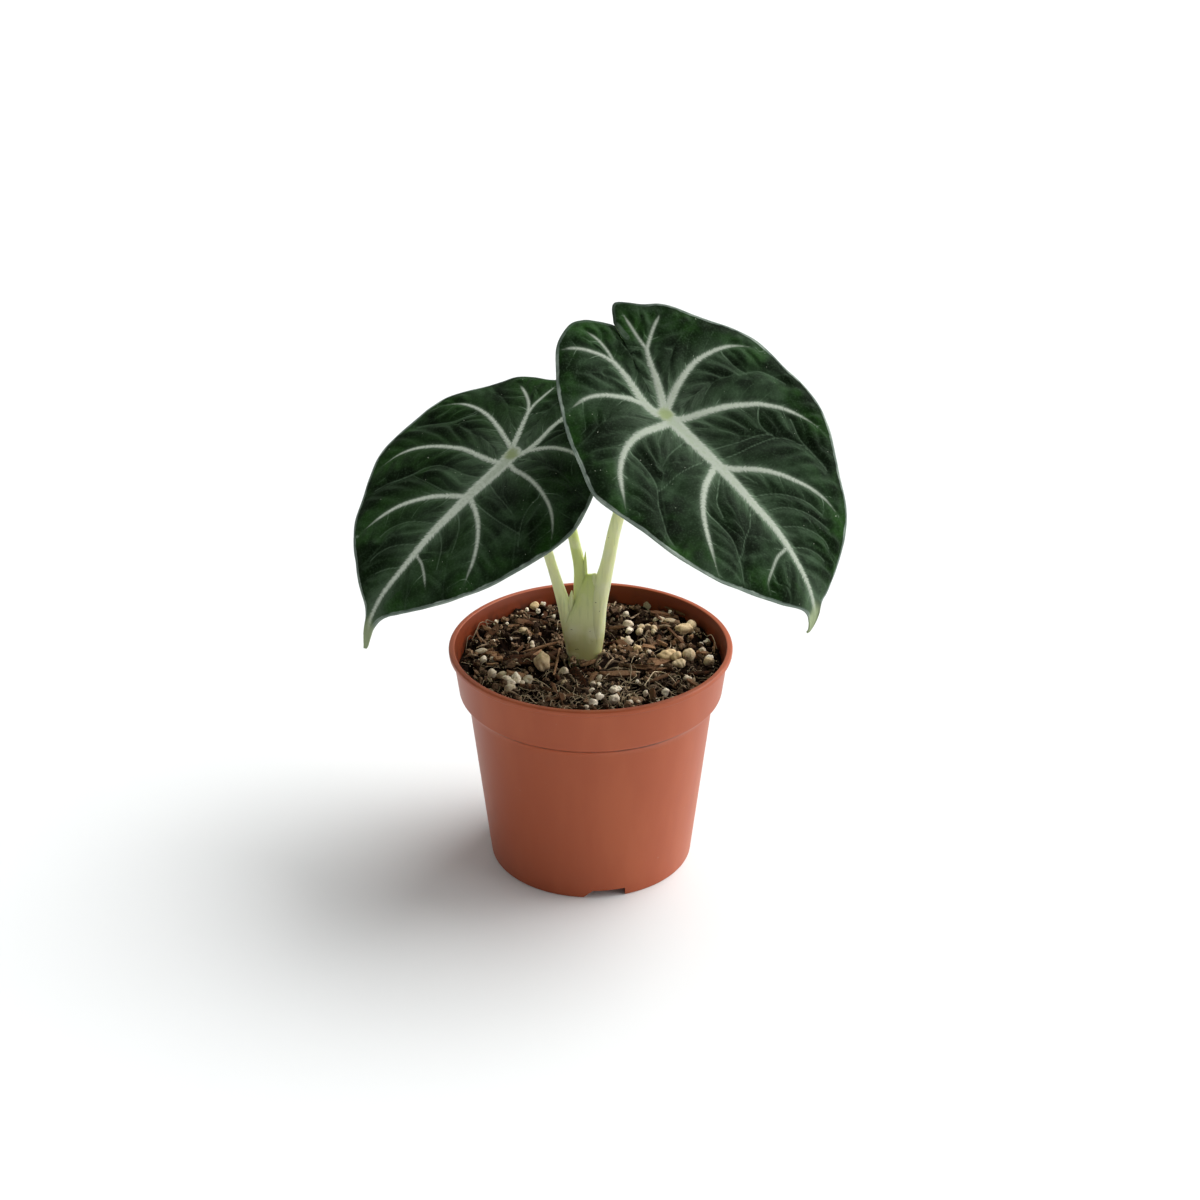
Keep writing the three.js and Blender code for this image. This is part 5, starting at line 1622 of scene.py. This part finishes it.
twigs = {
    "matter": ("dry twigs", "#24150d", "#ad967c", "#412c1e"),
    "grain": 0.8,
    "depth": 0.4,
    "count": 170,
    "reach": 50,
    "lengths": (3, 11),
    "widths": (0.6, 1.6),
    "lift": (0.1, 1.3),
    "liftPower": 1,
    "curl": (0.1, 0.4),
}


# Short straight fibres, thicker than coir.
def makeTwigs(draw):
    places = scatter(draw, twigs)
    columns = fibreColumns(draw, twigs, places[:, 0], places[:, 1])
    return makeFibres("twigs", draw, [*columns, tonesAt(draw, places, 1)])


mixDraw = np.random.default_rng(11)
fit(makeBed(), mixMatter(mixBed), "potting_mix", "potting_mix")
fit(makeCrumbs("humusCrumbs", humusCrumbs, mixDraw), mixMatter(humusCrumbs), "potting_mix")
fit(makeCrumbs("fineCrumbs", fineCrumbs, mixDraw), mixMatter(fineCrumbs), "potting_mix")
bark = mixMatter(barkChips)
fit(makeChips(mixDraw), bark, "potting_mix")
fit(makeStrips(mixDraw), bark, "potting_mix")
fit(makePerlite(mixDraw), mixMatter(perlite), "potting_mix")
fit(makeGranules(mixDraw), mixMatter(granules), "potting_mix")
fit(makeCoir(mixDraw), mixMatter(coir), "potting_mix")
fit(makeTwigs(mixDraw), mixMatter(twigs), "potting_mix")

# Studio: a pale floor, a large soft sun from the right, a weaker one lower down and an even sky.

studio = {
    "floor": "#edefef",
    "floorReach": 3e4,
    "sunStrength": 3.1,
    "sunSize": 55,
    "sunHeight": 50,
    "sunHeading": 30,
    "sideStrength": 2.5,
    "sideSize": 70,
    "sideHeight": 8,
    "sideHeading": -8,
    "skyFront": 0.22,  # brightness of the sky towards the camera
    "skyBack": 0.5,  # and of the white backdrop
}


def makeStudio():
    far = studio["floorReach"]
    corners = [(-far, -far, 0), (far, -far, 0), (far, far, 0), (-far, far, 0)]
    floor = makePiece("studioFloor", corners, [(0, 1, 2, 3)])
    paper = startMaterial("matt studio paper", {
        "Base Color": linear(studio["floor"]),
        "Roughness": 0.95,
        "Specular IOR Level": 0.1,
    })
    floor.data.materials.append(paper[0])
    for kind in ("sun", "side"):
        light = bpy.data.lights.new("soft " + kind, "SUN")
        light.energy = studio[kind + "Strength"]
        light.angle = np.radians(studio[kind + "Size"])
        lamp = bpy.data.objects.new("soft " + kind, light)
        lamp.rotation_euler = np.radians((0, 90 - studio[kind + "Height"], studio[kind + "Heading"]))
        bpy.context.scene.collection.objects.link(lamp)
    world = bpy.data.worlds.new("studio sky")
    world.use_nodes = True
    tree = world.node_tree
    seen = addNode(tree, "LightPath").outputs["Is Camera Ray"]
    way = addNode(tree, "TexCoord").outputs["Generated"]
    back = addNode(tree, "SeparateXYZ", {}, {0: way}).outputs[1]
    # brighter from the front to the back, and plain white where the camera itself sees it
    sky = {0: back, 1: -0.7, 2: 0.7, 3: studio["skyFront"], 4: studio["skyBack"]}
    glow = addNode(tree, "MapRange", {}, sky).outputs[0]
    strength = addNode(tree, "MapRange", {}, {0: seen, 3: glow, 4: 1.0}).outputs[0]
    tree.nodes["Background"].inputs[0].default_value = (1, 1, 1, 1)
    tree.links.new(strength, tree.nodes["Background"].inputs[1])
    bpy.context.scene.world = world
    bpy.context.scene.view_settings.view_transform = "Standard"
    print("studio set")


makeStudio()
